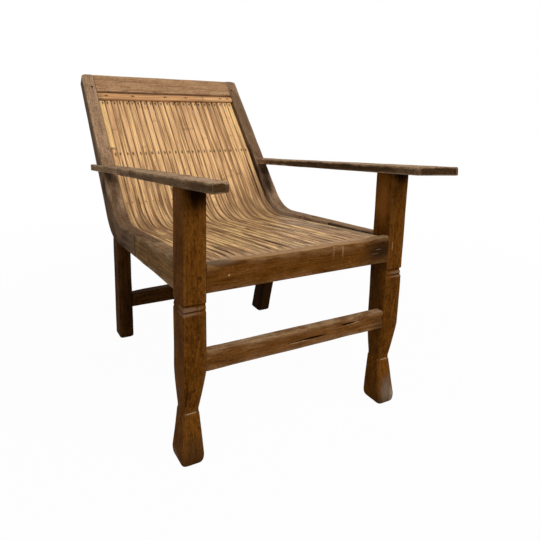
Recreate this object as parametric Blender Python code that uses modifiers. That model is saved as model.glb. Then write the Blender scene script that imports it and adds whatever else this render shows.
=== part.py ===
"""Plantation chair: a pegged hardwood frame with a bent seat and back of split bamboo slats.

Units are metres and +Z is up. The sitter faces -Y, and left and right are the sitter's own.
Everything is laid out from the front face of the front legs (y = 0) on the floor (z = 0), under one
empty that then moves the chair so that the origin is the middle of its footprint.
"""

import math

import bmesh
import bpy
from mathutils import Matrix, Vector

# Fits
FIT = 0.0003  # gap left between pieces that touch
TENON_ROOT = 0.003  # how far a tenon's stock starts inside its own piece
EASED_EDGE = 0.0018  # worn edge on sawn timbers
WELD = 0.00001
FLAT_ANGLE = math.radians(0.2)
EDGE_ANGLE = math.radians(35.0)

# Facets of the round stretches
KNEE_FACETS = 10
HEEL_FACETS = 9
BEND_FACETS = 9
CORNER_FACETS = 2
ARM_FACETS = 3
PEG_FACETS = 14

# Front legs
LEG_SPREAD = 0.580  # over the outer faces
LEG_WIDTH = 0.0493
LEG_DEPTH = 0.0640
LEG_CHAMFER = 0.0022
GROOVE_TOP = 0.363
GROOVE_DEPTH = 0.0045  # on the front face
GROOVE_SIDE = 0.6  # depth on a leg's outer face, as a share
GROOVE_UNDERCUT = 0.0045
GROOVE_FACET = 0.0105
BEAD_LIP = 0.0010
BEAD_NOTCH = 0.0020
BEAD_DEPTH = 0.0035
BEAD_FACET = 0.0060
TAPER_TOP = 0.214
WAIST_HEIGHT = 0.1235
WAIST_INSET = 0.0088
TAPER_BELLY = 0.42  # share of the waist's inset, half way down the taper
SHOULDER_HEIGHT = 0.1125
SHOULDER_LEDGE = 0.0016
FOOT_WIDTH = 0.0495
FOOT_DEPTH = 0.0670
FOOT_FULL_HEIGHT = 0.022
SOLE_INSET = 0.0045
SOLE_ROUND = 0.0080
SOLE_BELLY = 0.25  # share of the sole's inset that is left at the top of its rounding
ANKLE_DRIFT = -0.0060  # both ankles stand off-centre, towards the sitter's right
TAPER_DRIFT = 0.5  # share of the ankle's drift, half way down the taper
FOOT_DRIFT = -0.0100
FOOT_FORWARD_LEFT = 0.0160  # the left foot stands further forward than the right
FOOT_FORWARD_RIGHT = 0.0080

# Front seat rail and front stretcher
SEAT_FRONT_HEIGHT = 0.4489
FRONT_RAIL_HEIGHT = 0.0632
FRONT_RAIL_DEPTH = 0.0450
REBATE_START = 0.0210  # where the slats begin behind the rail's front face
STRETCHER_BOTTOM = 0.2115
STRETCHER_HEIGHT = 0.0425
STRETCHER_DEPTH = 0.0240
STRETCHER_SETBACK = 0.0015

# Side frames
FRAME_INSET = 0.0063  # outer face of a side frame, inside the leg's outer face
TIMBER = 0.0382
RAIL_DROP = 0.0005  # upper edge of a side rail below the seat's front, drawn on to y = 0
RAIL_FALL = 0.0848  # drop of the upper edge for each metre backwards
RAIL_FRONT_DEPTH = 0.0691
RAIL_KNEE_DEPTH = 0.0523
KNEE_Y = 0.5952
KNEE_RADIUS = 0.160
HEEL_RADIUS = 0.140
CREST_HEIGHT = 0.8195
BACK_ANGLE = math.radians(46.0)  # stile's front edge above the floor's plane
STILE_TOP_DEPTH = 0.0400
STILE_KNEE_DEPTH = 0.0850
CREST_ROUND = 0.0060
LAP_FRONT = 0.272
LAP_REAR = 0.395

# Top rail and its pegs
TOP_RAIL_HEIGHT = 0.0700
TOP_RAIL_DEPTH = 0.0300
PEG_RADIUS = 0.0040
PEG_INSET = 0.0120  # from the stile's inner face
PEG_DOWN = 0.0465  # from the crest
PEG_LENGTH = 0.0310

# Slats and the battens that carry them
SLAT_COUNT = 24
SLAT_GAP = 0.0012
SLAT_WALL = 0.0045
SLAT_CROWN = 0.0025
SLAT_FLAT = 0.45  # share of a slat's half width that its flat crown takes up
SLAT_RECESS = 0.0120  # crown below the stile's front edge
SLAT_EDGE_GAP = 0.0012
SLAT_BEND = 0.180
SEAT_FALL = 0.111  # drop of the slats for each metre backwards
BATTEN_DEPTH = 0.0160
BATTEN_WIDTH = 0.0280
UPPER_BATTEN_WIDTH = 0.0440
BATTEN_LET_IN = 0.0120
UPPER_BATTEN_DOWN = 0.0970  # centre lines, measured down the back from the crest
MIDDLE_BATTEN_DOWN = 0.3230
LOWER_BATTEN_DOWN = 0.4960
REAR_SEAT_BATTEN = 0.4250  # centre lines, measured back along the seat from the rebate
FRONT_SEAT_BATTEN = 0.1800
COVER_GAP = 0.0040  # open line below the top rail
COVER_WIDTH = 0.0285
COVER_DEPTH = 0.0090
COVER_ROUND = 0.0035

# Arms
ARM_HEIGHT = 0.6088  # underside at the front face of the legs
ARM_FALL = 0.1028  # drop of the arm for each metre backwards
ARM_THICKNESS = 0.0190
ARM_FRONT_WIDTH = 0.0631
ARM_REAR_WIDTH = 0.0372
ARM_SIDE_OVERHANG = 0.0047
ARM_WAISTING = 0.0041  # the outer edge draws in this much towards the stile
ARM_OUTER_REACH = 0.1520
ARM_INNER_REACH = 0.0850
ARM_INNER_ROUND = 0.0100
ARM_TIP_ROUND = 0.0045
ARM_EDGE = 0.0030
TONGUE_THICKNESS = 0.0155
TONGUE_LEAD = 0.0700  # starts this far in front of the stile
TONGUE_SWELL = 0.0400
TONGUE_PAST = 0.0250

# Rear legs and rear stretcher
REAR_LEG_WIDTH = 0.0375  # at the top
REAR_FOOT_WIDTH = 0.0435
REAR_LEG_DEPTH = 0.0620
REAR_LEG_BEHIND_KNEE = 0.0110
REAR_LEG_RAKE = 0.0910
REAR_FOOT_LEFT = 0.2550  # the two rear legs splay by different amounts
REAR_FOOT_RIGHT = 0.2430
REAR_LEG_ROUND = 0.0040
REAR_STRETCHER_BOTTOM = 0.1160
REAR_STRETCHER_HEIGHT = 0.0380
REAR_STRETCHER_DEPTH = 0.0320
REAR_STRETCHER_SETBACK = 0.0040

# Tenons
TENON_LENGTH = 0.0220
TENON_THICKNESS = 0.0130
TENON_SHOULDER = 0.0085
ARM_TENON_RISE = 0.0100
ARM_TENON_SHOULDER = 0.0120
REAR_TENON_RISE = 0.0240
REAR_TENON_ROOT = 0.0060  # deeper, because the knee's underside curves
LEANING_ROOT = 0.0090  # deeper still, because the rear legs lean

LEFT = 1
RIGHT = -1
SIDE_NAMES = {LEFT: "left", RIGHT: "right"}
TURN_TO_SIDE_VIEW = Matrix.Rotation(math.pi / 2, 4, "Z") @ Matrix.Rotation(math.pi / 2, 4, "X")

# Places worked out from the sizes above
LEG_INNER = LEG_SPREAD / 2 - LEG_WIDTH
LEG_CENTRE = LEG_SPREAD / 2 - LEG_WIDTH / 2
FRAME_OUTER = LEG_SPREAD / 2 - FRAME_INSET
FRAME_INNER = FRAME_OUTER - TIMBER
FRAME_CENTRE = FRAME_OUTER - TIMBER / 2
RAIL_TOP_FRONT = SEAT_FRONT_HEIGHT - RAIL_DROP
KNEE_Z = RAIL_TOP_FRONT - RAIL_FALL * KNEE_Y
CREST_Y = KNEE_Y + (CREST_HEIGHT - KNEE_Z) / math.tan(BACK_ANGLE)
BACK_LENGTH = (CREST_HEIGHT - KNEE_Z) / math.sin(BACK_ANGLE)
SLAT_HEIGHT = SLAT_WALL + SLAT_CROWN
BEARING_FRONT = SEAT_FRONT_HEIGHT - SLAT_HEIGHT - FIT
BEARING_DEPTH = SLAT_RECESS + SLAT_HEIGHT + FIT

# Frames for boxes that lie square to the back, the seat or the arms
BACK_TILT = Matrix.Rotation(BACK_ANGLE - math.pi / 2, 4, "X")
BACK_FRAME = Matrix.Translation((0, CREST_Y, CREST_HEIGHT)) @ BACK_TILT
SEAT_TILT = Matrix.Rotation(-math.atan(SEAT_FALL), 4, "X")
SEAT_FRAME = Matrix.Translation((0, REBATE_START, BEARING_FRONT)) @ SEAT_TILT
ARM_FRAME = Matrix.Translation((0, 0, ARM_HEIGHT)) @ Matrix.Rotation(-math.atan(ARM_FALL), 4, "X")


def clear_scene():
    """Remove what the file holds, so that the chair is built alone."""
    for item in list(bpy.data.objects):
        bpy.data.objects.remove(item, do_unlink=True)


def new_collection(name):
    """A collection linked to the scene."""
    group = bpy.data.collections.new(name)
    bpy.context.scene.collection.children.link(group)
    return group


def finish(name, colour, roughness):
    """Plain Principled material; nothing on the chair is metal."""
    material = bpy.data.materials.new(name)
    material.use_nodes = True
    shader = material.node_tree.nodes["Principled BSDF"]
    shader.inputs["Base Color"].default_value = (*colour, 1.0)
    shader.inputs["Roughness"].default_value = roughness
    shader.inputs["Metallic"].default_value = 0.0
    return material


class Workshop:
    """Holds the collections, the finishes and the empty that every piece hangs from."""

    def __init__(self):
        self.parts = new_collection("plantation_chair")
        self.cutters = new_collection("plantation_chair_cutters")
        self.origin = bpy.data.objects.new("chair_origin", None)
        self.parts.objects.link(self.origin)
        self.warm = finish("warm_hardwood", (0.20, 0.095, 0.035), 0.45)
        self.grey = finish("weathered_hardwood", (0.21, 0.13, 0.075), 0.6)
        self.dark = finish("shaded_hardwood", (0.09, 0.045, 0.02), 0.55)
        self.bamboo = finish("split_bamboo", (0.42, 0.26, 0.12), 0.4)
        self.batten = finish("rough_batten", (0.24, 0.15, 0.08), 0.7)

    def add(self, name, mesh, frame, material=None):
        """Link a mesh as a piece, or as a cutter where it has no material."""
        item = bpy.data.objects.new(name, mesh)
        item.matrix_world = frame
        item.parent = self.origin
        if material is None:
            item.hide_render = True
            item.display_type = "WIRE"
            self.cutters.objects.link(item)
        else:
            mesh.materials.append(material)
            self.parts.objects.link(item)
        return item

    def box(self, name, low, high, frame=None, material=None, grow=0.0):
        """Box between two corners of a frame, grown on every side."""
        margin = Vector((grow, grow, grow))
        low = Vector(low) - margin
        high = Vector(high) + margin
        bm = bmesh.new()
        bmesh.ops.create_cube(bm, size=1.0, matrix=Matrix.Diagonal((*(high - low), 1.0)))
        mesh = mesh_from(bm, name)
        base = frame if frame is not None else Matrix.Identity(4)
        return self.add(name, mesh, base @ Matrix.Translation((low + high) / 2), material)

    def prism(self, name, outline, thickness, frame, material=None):
        """Flat outline of a frame's XY plane, thickened evenly to both sides of that plane."""
        curve = bpy.data.curves.new(name, "CURVE")
        curve.dimensions = "2D"
        curve.fill_mode = "BOTH"
        curve.extrude = thickness / 2
        spline = curve.splines.new("POLY")
        spline.points.add(len(outline) - 1)
        spline.points.foreach_set("co", [c for x, y in outline for c in (x, y, 0.0, 1.0)])
        spline.use_cyclic_u = True
        drawn = bpy.data.objects.new(name + "_outline", curve)
        self.cutters.objects.link(drawn)
        solid = bpy.data.meshes.new_from_object(drawn.evaluated_get(bpy.context.evaluated_depsgraph_get()))
        bpy.data.objects.remove(drawn)
        bpy.data.curves.remove(curve)
        bm = bmesh.new()
        bm.from_mesh(solid)
        bpy.data.meshes.remove(solid)
        bmesh.ops.remove_doubles(bm, verts=bm.verts, dist=WELD)
        bmesh.ops.dissolve_limit(bm, angle_limit=FLAT_ANGLE, verts=bm.verts, edges=bm.edges)
        bmesh.ops.recalc_face_normals(bm, faces=bm.faces)
        return self.add(name, mesh_from(bm, name), frame, material)


def mesh_from(bm, name):
    """Turn a bmesh into a mesh and free it."""
    mesh = bpy.data.meshes.new(name)
    bm.to_mesh(mesh)
    bm.free()
    return mesh


def ease(item, width=EASED_EDGE, segments=1):
    """Round the sawn edges, before any joint is cut."""
    bevel = item.modifiers.new("eased_edges", "BEVEL")
    bevel.width = width
    bevel.segments = segments
    bevel.limit_method = "ANGLE"
    bevel.angle_limit = EDGE_ANGLE


def carve(item, tool, operation="DIFFERENCE"):
    """Cut a tool out of a piece, or join it on."""
    modifier = item.modifiers.new(tool.name, "BOOLEAN")
    modifier.operation = operation
    modifier.object = tool
    modifier.solver = "EXACT"


def tenon(shop, name, piece, receiver, low, high, frame=None):
    """Leave a tenon on a piece and cut its mortise, one fit larger, in the receiver."""
    carve(piece, shop.box(name + "_tenon", low, high, frame), "UNION")
    carve(receiver, shop.box(name + "_mortise", low, high, frame, grow=FIT))


def crossing(a, b, c, d):
    """Point where the line through a and b meets the line through c and d."""
    first = b - a
    second = d - c
    along = (c - a).cross(second) / first.cross(second)
    return a + first * along


def grown(corners, gap):
    """Corners of an anticlockwise outline with every side moved outwards by a gap."""
    count = len(corners)
    sides = []
    for i in range(count):
        a = corners[i]
        b = corners[(i + 1) % count]
        out = Vector((b.y - a.y, a.x - b.x)).normalized() * gap
        sides.append((a + out, b + out))
    return [crossing(*sides[i - 1], *sides[i]) for i in range(count)]


def arc_corner(before, corner, after, radius, steps):
    """Points of the arc that rounds a corner between two straight stretches."""
    u = (before - corner).normalized()
    w = (after - corner).normalized()
    half = u.angle(w) / 2
    centre = corner + (u + w).normalized() * (radius / math.sin(half))
    start = corner + u * (radius / math.tan(half)) - centre
    end = corner + w * (radius / math.tan(half)) - centre
    sweep = math.atan2(start.cross(end), start.dot(end))
    turned = [Matrix.Rotation(sweep * k / steps, 2) @ start for k in range(steps + 1)]
    return [centre + point for point in turned]


def rounded(corners, rounds):
    """Closed outline with each corner rounded to its (radius, facets), or left sharp where that is None."""
    outline = []
    for i, corner in enumerate(corners):
        if rounds[i] is None:
            outline.append(corner)
            continue
        after = corners[(i + 1) % len(corners)]
        outline.extend(arc_corner(corners[i - 1], corner, after, *rounds[i]))
    return outline


def back_point(depth, down):
    """Place in side view, measured behind the stile's front edge and down from the crest."""
    place = BACK_FRAME @ Vector((0, depth, -down))
    return Vector((place.y, place.z))


def rail_top(y):
    """Height of the side rail's upper edge."""
    return RAIL_TOP_FRONT - RAIL_FALL * y


def side_frame_outline(gap=0.0):
    """Side view of a stile, its knee and the seat rail, anticlockwise from the rail's lower front corner."""
    start = LEG_DEPTH + FIT
    lower_front = Vector((start, rail_top(start) - RAIL_FRONT_DEPTH))
    lower_knee = Vector((KNEE_Y, KNEE_Z - RAIL_KNEE_DEPTH))
    crest_back = back_point(STILE_TOP_DEPTH, 0)
    heel = crossing(lower_front, lower_knee, crest_back, back_point(STILE_KNEE_DEPTH, BACK_LENGTH))
    corners = [
        lower_front,
        heel,
        crest_back,
        back_point(0, 0),
        Vector((KNEE_Y, KNEE_Z)),
        Vector((start, rail_top(start))),
    ]
    heel_round = (HEEL_RADIUS + gap, HEEL_FACETS)
    crest_round = (CREST_ROUND + gap, CORNER_FACETS)
    knee_round = (KNEE_RADIUS - gap, KNEE_FACETS)
    return rounded(grown(corners, gap), [None, heel_round, crest_round, crest_round, knee_round, None])


def slat_path():
    """Line that the slats bear on, from under the top rail to the front rail's rebate, in side view."""
    top = back_point(BEARING_DEPTH, TOP_RAIL_HEIGHT + FIT)
    down = back_point(BEARING_DEPTH, BACK_LENGTH)
    front = Vector((REBATE_START + FIT, BEARING_FRONT - SEAT_FALL * FIT))
    rear = front + Vector((KNEE_Y, -SEAT_FALL * KNEE_Y))
    corner = crossing(top, down, front, rear)
    return [top, *arc_corner(top, corner, front, SLAT_BEND, BEND_FACETS), front]


def side_frame(shop, side):
    """Back stile with its knee, and the seat rail half-lapped to it. Also gives the room they take up."""
    name = SIDE_NAMES[side]
    frame = Matrix.Translation((side * FRAME_CENTRE, 0, 0)) @ TURN_TO_SIDE_VIEW
    outline = side_frame_outline()
    stile = shop.prism(f"back_stile_{name}", outline, TIMBER, frame, shop.grey)
    rail = shop.prism(f"seat_rail_{name}", outline, TIMBER, frame, shop.warm)
    ease(stile)
    ease(rail)
    room = shop.prism(f"frame_room_{name}", side_frame_outline(FIT), TIMBER + FIT, frame)
    # The rail keeps the outer half of the lap, the knee the inner half
    half = FIT / 2
    low, high = KNEE_Z - RAIL_FRONT_DEPTH - TIMBER, RAIL_TOP_FRONT + TIMBER
    beyond = CREST_Y + STILE_TOP_DEPTH
    wide = FRAME_OUTER + TIMBER
    outer = sorted((side * (FRAME_CENTRE - half), side * wide))
    inner = sorted((side * (FRAME_INNER - TIMBER), side * (FRAME_CENTRE + half)))
    stile_cuts = (
        ("lap_outer", (outer[0], 0, low), (outer[1], LAP_REAR + half, high)),
        ("lap_front", (-wide, -half, low - half), (wide, LAP_FRONT + half, high + half)),
    )
    rail_cuts = (
        ("lap_inner", (inner[0], LAP_FRONT - half, low), (inner[1], beyond, high)),
        ("lap_rear", (-wide, LAP_REAR - half, 0), (wide, beyond + half, CREST_HEIGHT + TIMBER)),
    )
    for piece, cuts in ((stile, stile_cuts), (rail, rail_cuts)):
        for cut, near, far in cuts:
            carve(piece, shop.box(f"{cut}_{name}", near, far))
    return stile, rail, room


def leg_section(height, inset, drift=0.0):
    """Chamfered rectangle of a front leg at a height, as a ring of points round the leg's middle."""
    half_x = LEG_WIDTH / 2 - inset
    half_y = LEG_DEPTH / 2 - inset
    return chamfered(half_x, half_y, height, ANKLE_DRIFT * drift, 0.0)


def groove_section(side, height, inset):
    """Section of a front leg where its front and its outer face alone are cut back."""
    aside = inset * GROOVE_SIDE
    half_x = (LEG_WIDTH - aside) / 2
    half_y = (LEG_DEPTH - inset) / 2
    return chamfered(half_x, half_y, height, -side * aside / 2, inset / 2)


def foot_section(side, height, inset):
    """Chamfered rectangle of a front foot, which stands forward of the leg and to one side."""
    forward = FOOT_FORWARD_LEFT if side == LEFT else FOOT_FORWARD_RIGHT
    return chamfered(FOOT_WIDTH / 2 - inset, FOOT_DEPTH / 2 - inset, height, FOOT_DRIFT, -forward)


def chamfered(half_x, half_y, height, shift_x, shift_y):
    """Ring of eight points: a rectangle with its corners cut off."""
    cut = LEG_CHAMFER
    quarter = [(half_x, half_y - cut), (half_x - cut, half_y)]
    ring = []
    for sign_x, sign_y, order in ((1, 1, 1), (-1, 1, -1), (-1, -1, 1), (1, -1, -1)):
        ring.extend((sign_x * x + shift_x, sign_y * y + shift_y, height) for x, y in quarter[::order])
    return ring


def loft(name, rings):
    """Closed mesh through rings of equal count, from the lowest to the highest."""
    bm = bmesh.new()
    loops = [[bm.verts.new(point) for point in ring] for ring in rings]
    for lower, upper in zip(loops, loops[1:]):
        for k in range(len(lower)):
            bm.faces.new((lower[k - 1], lower[k], upper[k], upper[k - 1]))
    bm.faces.new(loops[0][::-1])
    bm.faces.new(loops[-1])
    return mesh_from(bm, name)


def front_leg(shop, side):
    """Square leg: flared foot block, shoulder, tapered ankle, double groove on two faces and a plain top."""
    groove_floor = GROOVE_TOP - GROOVE_UNDERCUT
    bead_lip = groove_floor - GROOVE_FACET
    bead_floor = bead_lip - BEAD_NOTCH
    rings = [
        foot_section(side, 0.0, SOLE_INSET),
        foot_section(side, SOLE_ROUND, SOLE_INSET * SOLE_BELLY),
        foot_section(side, FOOT_FULL_HEIGHT, 0.0),
        leg_section(SHOULDER_HEIGHT, WAIST_INSET - SHOULDER_LEDGE, 1.0),
        leg_section(SHOULDER_HEIGHT + SHOULDER_LEDGE, WAIST_INSET, 1.0),
        leg_section(WAIST_HEIGHT, WAIST_INSET, 1.0),
        leg_section((WAIST_HEIGHT + TAPER_TOP) / 2, WAIST_INSET * TAPER_BELLY, TAPER_DRIFT),
        leg_section(TAPER_TOP, 0.0),
        leg_section(bead_floor - BEAD_FACET, 0.0),
        groove_section(side, bead_floor, BEAD_DEPTH),
        groove_section(side, bead_lip, BEAD_LIP),
        groove_section(side, groove_floor, GROOVE_DEPTH),
        leg_section(GROOVE_TOP, 0.0),
        leg_section(ARM_HEIGHT + ARM_THICKNESS, 0.0),
    ]
    name = f"front_leg_{SIDE_NAMES[side]}"
    place = Matrix.Translation((side * LEG_CENTRE, LEG_DEPTH / 2, 0))
    leg = shop.add(name, loft(name, rings), place, shop.warm)
    above = shop.box(f"arm_bed_{SIDE_NAMES[side]}", (-LEG_SPREAD, -LEG_DEPTH, -FIT),
                     (LEG_SPREAD, 2 * LEG_DEPTH, ARM_HEIGHT), ARM_FRAME)
    carve(leg, above)
    return leg


def arm_outline(side):
    """Plan of an arm board in its own plane, anticlockwise: slanted front, waisted edge, rear tongue."""
    underside = (Vector((0, ARM_HEIGHT)), Vector((KNEE_Y, ARM_HEIGHT - ARM_FALL * KNEE_Y)))
    front_edge = (back_point(0, 0), back_point(0, BACK_LENGTH))
    back_edge = (back_point(STILE_TOP_DEPTH, 0), back_point(STILE_KNEE_DEPTH, BACK_LENGTH))
    level = math.cos(math.atan(ARM_FALL))
    stile_front = crossing(*front_edge, *underside).x / level
    stile_back = crossing(*back_edge, *underside).x / level
    outer_front = LEG_SPREAD / 2 + ARM_SIDE_OVERHANG
    outer_rear = outer_front - ARM_WAISTING
    tongue_inner = FRAME_OUTER + FIT
    kink = stile_front - TONGUE_LEAD
    corners = [
        Vector((outer_front - ARM_FRONT_WIDTH, -ARM_INNER_REACH)),
        Vector((outer_front, -ARM_OUTER_REACH)),
        Vector((outer_rear, kink)),
        Vector((tongue_inner + TONGUE_THICKNESS, kink + TONGUE_SWELL)),
        Vector((tongue_inner + TONGUE_THICKNESS, stile_back + TONGUE_PAST)),
        Vector((tongue_inner, stile_back + TONGUE_PAST)),
        Vector((tongue_inner, (stile_front + stile_back) / 2)),
        Vector((outer_rear - ARM_REAR_WIDTH, (stile_front + stile_back) / 2)),
    ]
    inner_round = (ARM_INNER_ROUND, ARM_FACETS)
    tip_round = (ARM_TIP_ROUND, ARM_FACETS)
    end_round = (ARM_EDGE, CORNER_FACETS)
    outline = rounded(corners, [inner_round, tip_round, None, None, end_round, end_round, None, None])
    return [Vector((side * p.x, p.y)) for p in outline]


def arm(shop, side, leg, room):
    """Sloping arm board, notched round the stile and tenoned on the front leg."""
    name = SIDE_NAMES[side]
    frame = ARM_FRAME @ Matrix.Translation((0, 0, ARM_THICKNESS / 2))
    board = shop.prism(f"arm_{name}", arm_outline(side), ARM_THICKNESS, frame, shop.grey)
    ease(board, ARM_EDGE, 2)
    carve(board, room)
    middle = LEG_DEPTH / 2
    low = (side * LEG_CENTRE - LEG_WIDTH / 2 + ARM_TENON_SHOULDER, middle - TENON_THICKNESS, -FIT - TENON_ROOT)
    high = (side * LEG_CENTRE + LEG_WIDTH / 2 - ARM_TENON_SHOULDER, middle + TENON_THICKNESS, ARM_TENON_RISE)
    tenon(shop, f"arm_{name}", leg, board, low, high, ARM_FRAME)
    return board


def front_rails(shop, legs):
    """Front seat rail with the slats' rebate, and the front stretcher."""
    reach = LEG_INNER - FIT
    bottom = SEAT_FRONT_HEIGHT - FRONT_RAIL_HEIGHT
    rail = shop.box("front_seat_rail", (-reach, 0, bottom), (reach, FRONT_RAIL_DEPTH, SEAT_FRONT_HEIGHT),
                    material=shop.warm)
    ease(rail, ARM_EDGE, 2)
    carve(rail, shop.box("slat_rebate", (-LEG_SPREAD, 0, 0), (LEG_SPREAD, FRONT_RAIL_DEPTH, FRONT_RAIL_HEIGHT),
                         SEAT_FRAME))
    front = STRETCHER_SETBACK
    low = (-reach, front, STRETCHER_BOTTOM)
    high = (reach, front + STRETCHER_DEPTH, STRETCHER_BOTTOM + STRETCHER_HEIGHT)
    stretcher = shop.box("front_stretcher", low, high, material=shop.warm)
    ease(stretcher, ARM_EDGE, 2)
    for side, leg in legs.items():
        name = SIDE_NAMES[side]
        ends = sorted((side * (reach - TENON_ROOT), side * (LEG_INNER + TENON_LENGTH)))
        low = (ends[0], REBATE_START - TENON_THICKNESS, bottom + TENON_SHOULDER)
        high = (ends[1], REBATE_START, SEAT_FRONT_HEIGHT - 2 * TENON_SHOULDER)
        tenon(shop, f"front_seat_rail_{name}", rail, leg, low, high)
        low = (ends[0], front + TENON_SHOULDER / 2, STRETCHER_BOTTOM + TENON_SHOULDER)
        high = (ends[1], front + TENON_SHOULDER / 2 + TENON_THICKNESS,
                STRETCHER_BOTTOM + STRETCHER_HEIGHT - TENON_SHOULDER)
        tenon(shop, f"front_stretcher_{name}", stretcher, leg, low, high)


def join_rail_to_leg(shop, side, rail, leg):
    """Tenon of a side rail in the back face of the front leg, clear of the front rail's tenon."""
    top = rail_top(LEG_DEPTH) - TENON_SHOULDER
    bottom = rail_top(LEG_DEPTH) - RAIL_FRONT_DEPTH + TENON_SHOULDER
    tip = REBATE_START + TENON_SHOULDER
    half = TENON_THICKNESS / 2
    low = (side * FRAME_CENTRE - half, tip, bottom)
    high = (side * FRAME_CENTRE + half, LEG_DEPTH + FIT + TENON_ROOT, top)
    tenon(shop, f"seat_rail_{SIDE_NAMES[side]}", rail, leg, low, high)


def top_rail(shop, stiles):
    """Rail between the stile tops, flush with their front edges, with a pegged tenon at each end."""
    reach = FRAME_INNER - FIT
    low = (-reach, 0, -TOP_RAIL_HEIGHT)
    rail = shop.box("top_rail", low, (reach, TOP_RAIL_DEPTH, 0), BACK_FRAME, shop.grey)
    ease(rail, ARM_EDGE, 2)
    near = (TOP_RAIL_DEPTH - TENON_THICKNESS) / 2
    for side, stile in stiles.items():
        name = SIDE_NAMES[side]
        ends = sorted((side * (reach - TENON_ROOT), side * (FRAME_INNER + TENON_LENGTH)))
        low = (ends[0], near, -TOP_RAIL_HEIGHT + TENON_SHOULDER)
        high = (ends[1], near + TENON_THICKNESS, -TENON_SHOULDER)
        tenon(shop, f"top_rail_{name}", rail, stile, low, high, BACK_FRAME)
        place = BACK_FRAME @ Matrix.Translation((side * (FRAME_INNER + PEG_INSET), 0, -PEG_DOWN))
        hole = peg(shop, f"top_rail_peg_hole_{name}", place, FIT)
        carve(stile, hole)
        carve(rail, hole)
        peg(shop, f"top_rail_peg_{name}", place, 0.0, shop.dark)


def peg(shop, name, place, grow, material=None):
    """Round peg along the frame's depth; the hole is the same shape, grown and drilled past the face."""
    bm = bmesh.new()
    length = PEG_LENGTH + (PEG_RADIUS if material is None else 0.0)
    bmesh.ops.create_cone(bm, cap_ends=True, segments=PEG_FACETS, radius1=PEG_RADIUS + grow, radius2=PEG_RADIUS + grow,
                          depth=length + 2 * grow)
    turn = Matrix.Rotation(-math.pi / 2, 4, "X")
    middle = Matrix.Translation((0, PEG_LENGTH - length / 2, 0))
    return shop.add(name, mesh_from(bm, name), place @ middle @ turn, material)


def rear_leg_places(side):
    """Foot and top of a rear leg's middle line, the top inside the side frame."""
    foot_x = REAR_FOOT_LEFT if side == LEFT else REAR_FOOT_RIGHT
    top_y = KNEE_Y + REAR_LEG_BEHIND_KNEE
    foot = Vector((side * foot_x, top_y + REAR_LEG_RAKE, 0))
    top = Vector((side * FRAME_CENTRE, top_y, KNEE_Z - RAIL_KNEE_DEPTH / 2))
    return foot, top


def rear_leg_width(share):
    """Width of a rear leg, at a share of the way from its foot to its top."""
    return REAR_FOOT_WIDTH + (REAR_LEG_WIDTH - REAR_FOOT_WIDTH) * share


def leaning_post(shop, name, foot, top, grow=0.0, material=None):
    """Square post that leans and narrows from its foot to its top, with level ends."""
    bm = bmesh.new()
    size = (1.0, REAR_LEG_DEPTH + 2 * grow, top.z, 1.0)
    bmesh.ops.create_cube(bm, size=1.0, matrix=Matrix.Translation((0, 0, top.z / 2)) @ Matrix.Diagonal(size))
    for vert in bm.verts:
        share = vert.co.z / top.z
        vert.co.x = math.copysign(rear_leg_width(share) / 2 + grow, vert.co.x)
        vert.co.xy += (top.xy - foot.xy) * share
    return shop.add(name, mesh_from(bm, name), Matrix.Translation(foot), material)


def rear_leg(shop, side, stile, room):
    """Raked rear leg, shouldered against the knee's curved underside and tenoned into it."""
    name = SIDE_NAMES[side]
    foot, top = rear_leg_places(side)
    leg = leaning_post(shop, f"rear_leg_{name}", foot, top, material=shop.dark)
    ease(leg, REAR_LEG_ROUND, 2)
    carve(leg, room)
    half_x = TENON_THICKNESS / 2
    half_y = REAR_LEG_DEPTH / 2 - 2 * TENON_SHOULDER
    seat = KNEE_Z - RAIL_KNEE_DEPTH
    low = (side * FRAME_CENTRE - half_x, top.y - half_y, seat - REAR_TENON_ROOT)
    high = (side * FRAME_CENTRE + half_x, top.y + half_y, seat + REAR_TENON_RISE)
    tenon(shop, f"rear_leg_{name}", leg, stile, low, high)
    return leg


def rear_stretcher(shop, legs):
    """Stretcher between the rear legs, shouldered against their leaning faces."""
    middle = REAR_STRETCHER_BOTTOM + REAR_STRETCHER_HEIGHT / 2
    lines = {side: rear_leg_places(side) for side in legs}
    centres = {side: foot.lerp(top, middle / top.z) for side, (foot, top) in lines.items()}
    front = centres[LEFT].y - REAR_LEG_DEPTH / 2 + REAR_STRETCHER_SETBACK
    stretcher = shop.box("rear_stretcher", (centres[RIGHT].x, front, REAR_STRETCHER_BOTTOM),
                         (centres[LEFT].x, front + REAR_STRETCHER_DEPTH,
                          REAR_STRETCHER_BOTTOM + REAR_STRETCHER_HEIGHT), material=shop.dark)
    ease(stretcher, ARM_EDGE, 2)
    near = front + (REAR_STRETCHER_DEPTH - TENON_THICKNESS) / 2
    for side, leg in legs.items():
        name = SIDE_NAMES[side]
        carve(stretcher, leaning_post(shop, f"rear_leg_room_{name}", *lines[side], grow=FIT))
        face = centres[side].x - side * rear_leg_width(middle / lines[side][1].z) / 2
        ends = sorted((face - side * LEANING_ROOT, face + side * TENON_LENGTH))
        low = (ends[0], near, REAR_STRETCHER_BOTTOM + TENON_SHOULDER)
        high = (ends[1], near + TENON_THICKNESS, REAR_STRETCHER_BOTTOM + REAR_STRETCHER_HEIGHT - TENON_SHOULDER)
        tenon(shop, f"rear_stretcher_{name}", stretcher, leg, low, high)


def batten(shop, name, frame, depth, along, receivers):
    """Cross batten under the slats, let into both side frames."""
    reach = FRAME_INNER + BATTEN_LET_IN
    low = Vector((-reach, min(depth), min(along)))
    high = Vector((reach, max(depth), max(along)))
    shop.box(name, low, high, frame, shop.batten)
    mortise = shop.box(f"{name}_mortise", low, high, frame, grow=FIT)
    for receiver in receivers:
        carve(receiver, mortise)


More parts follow.
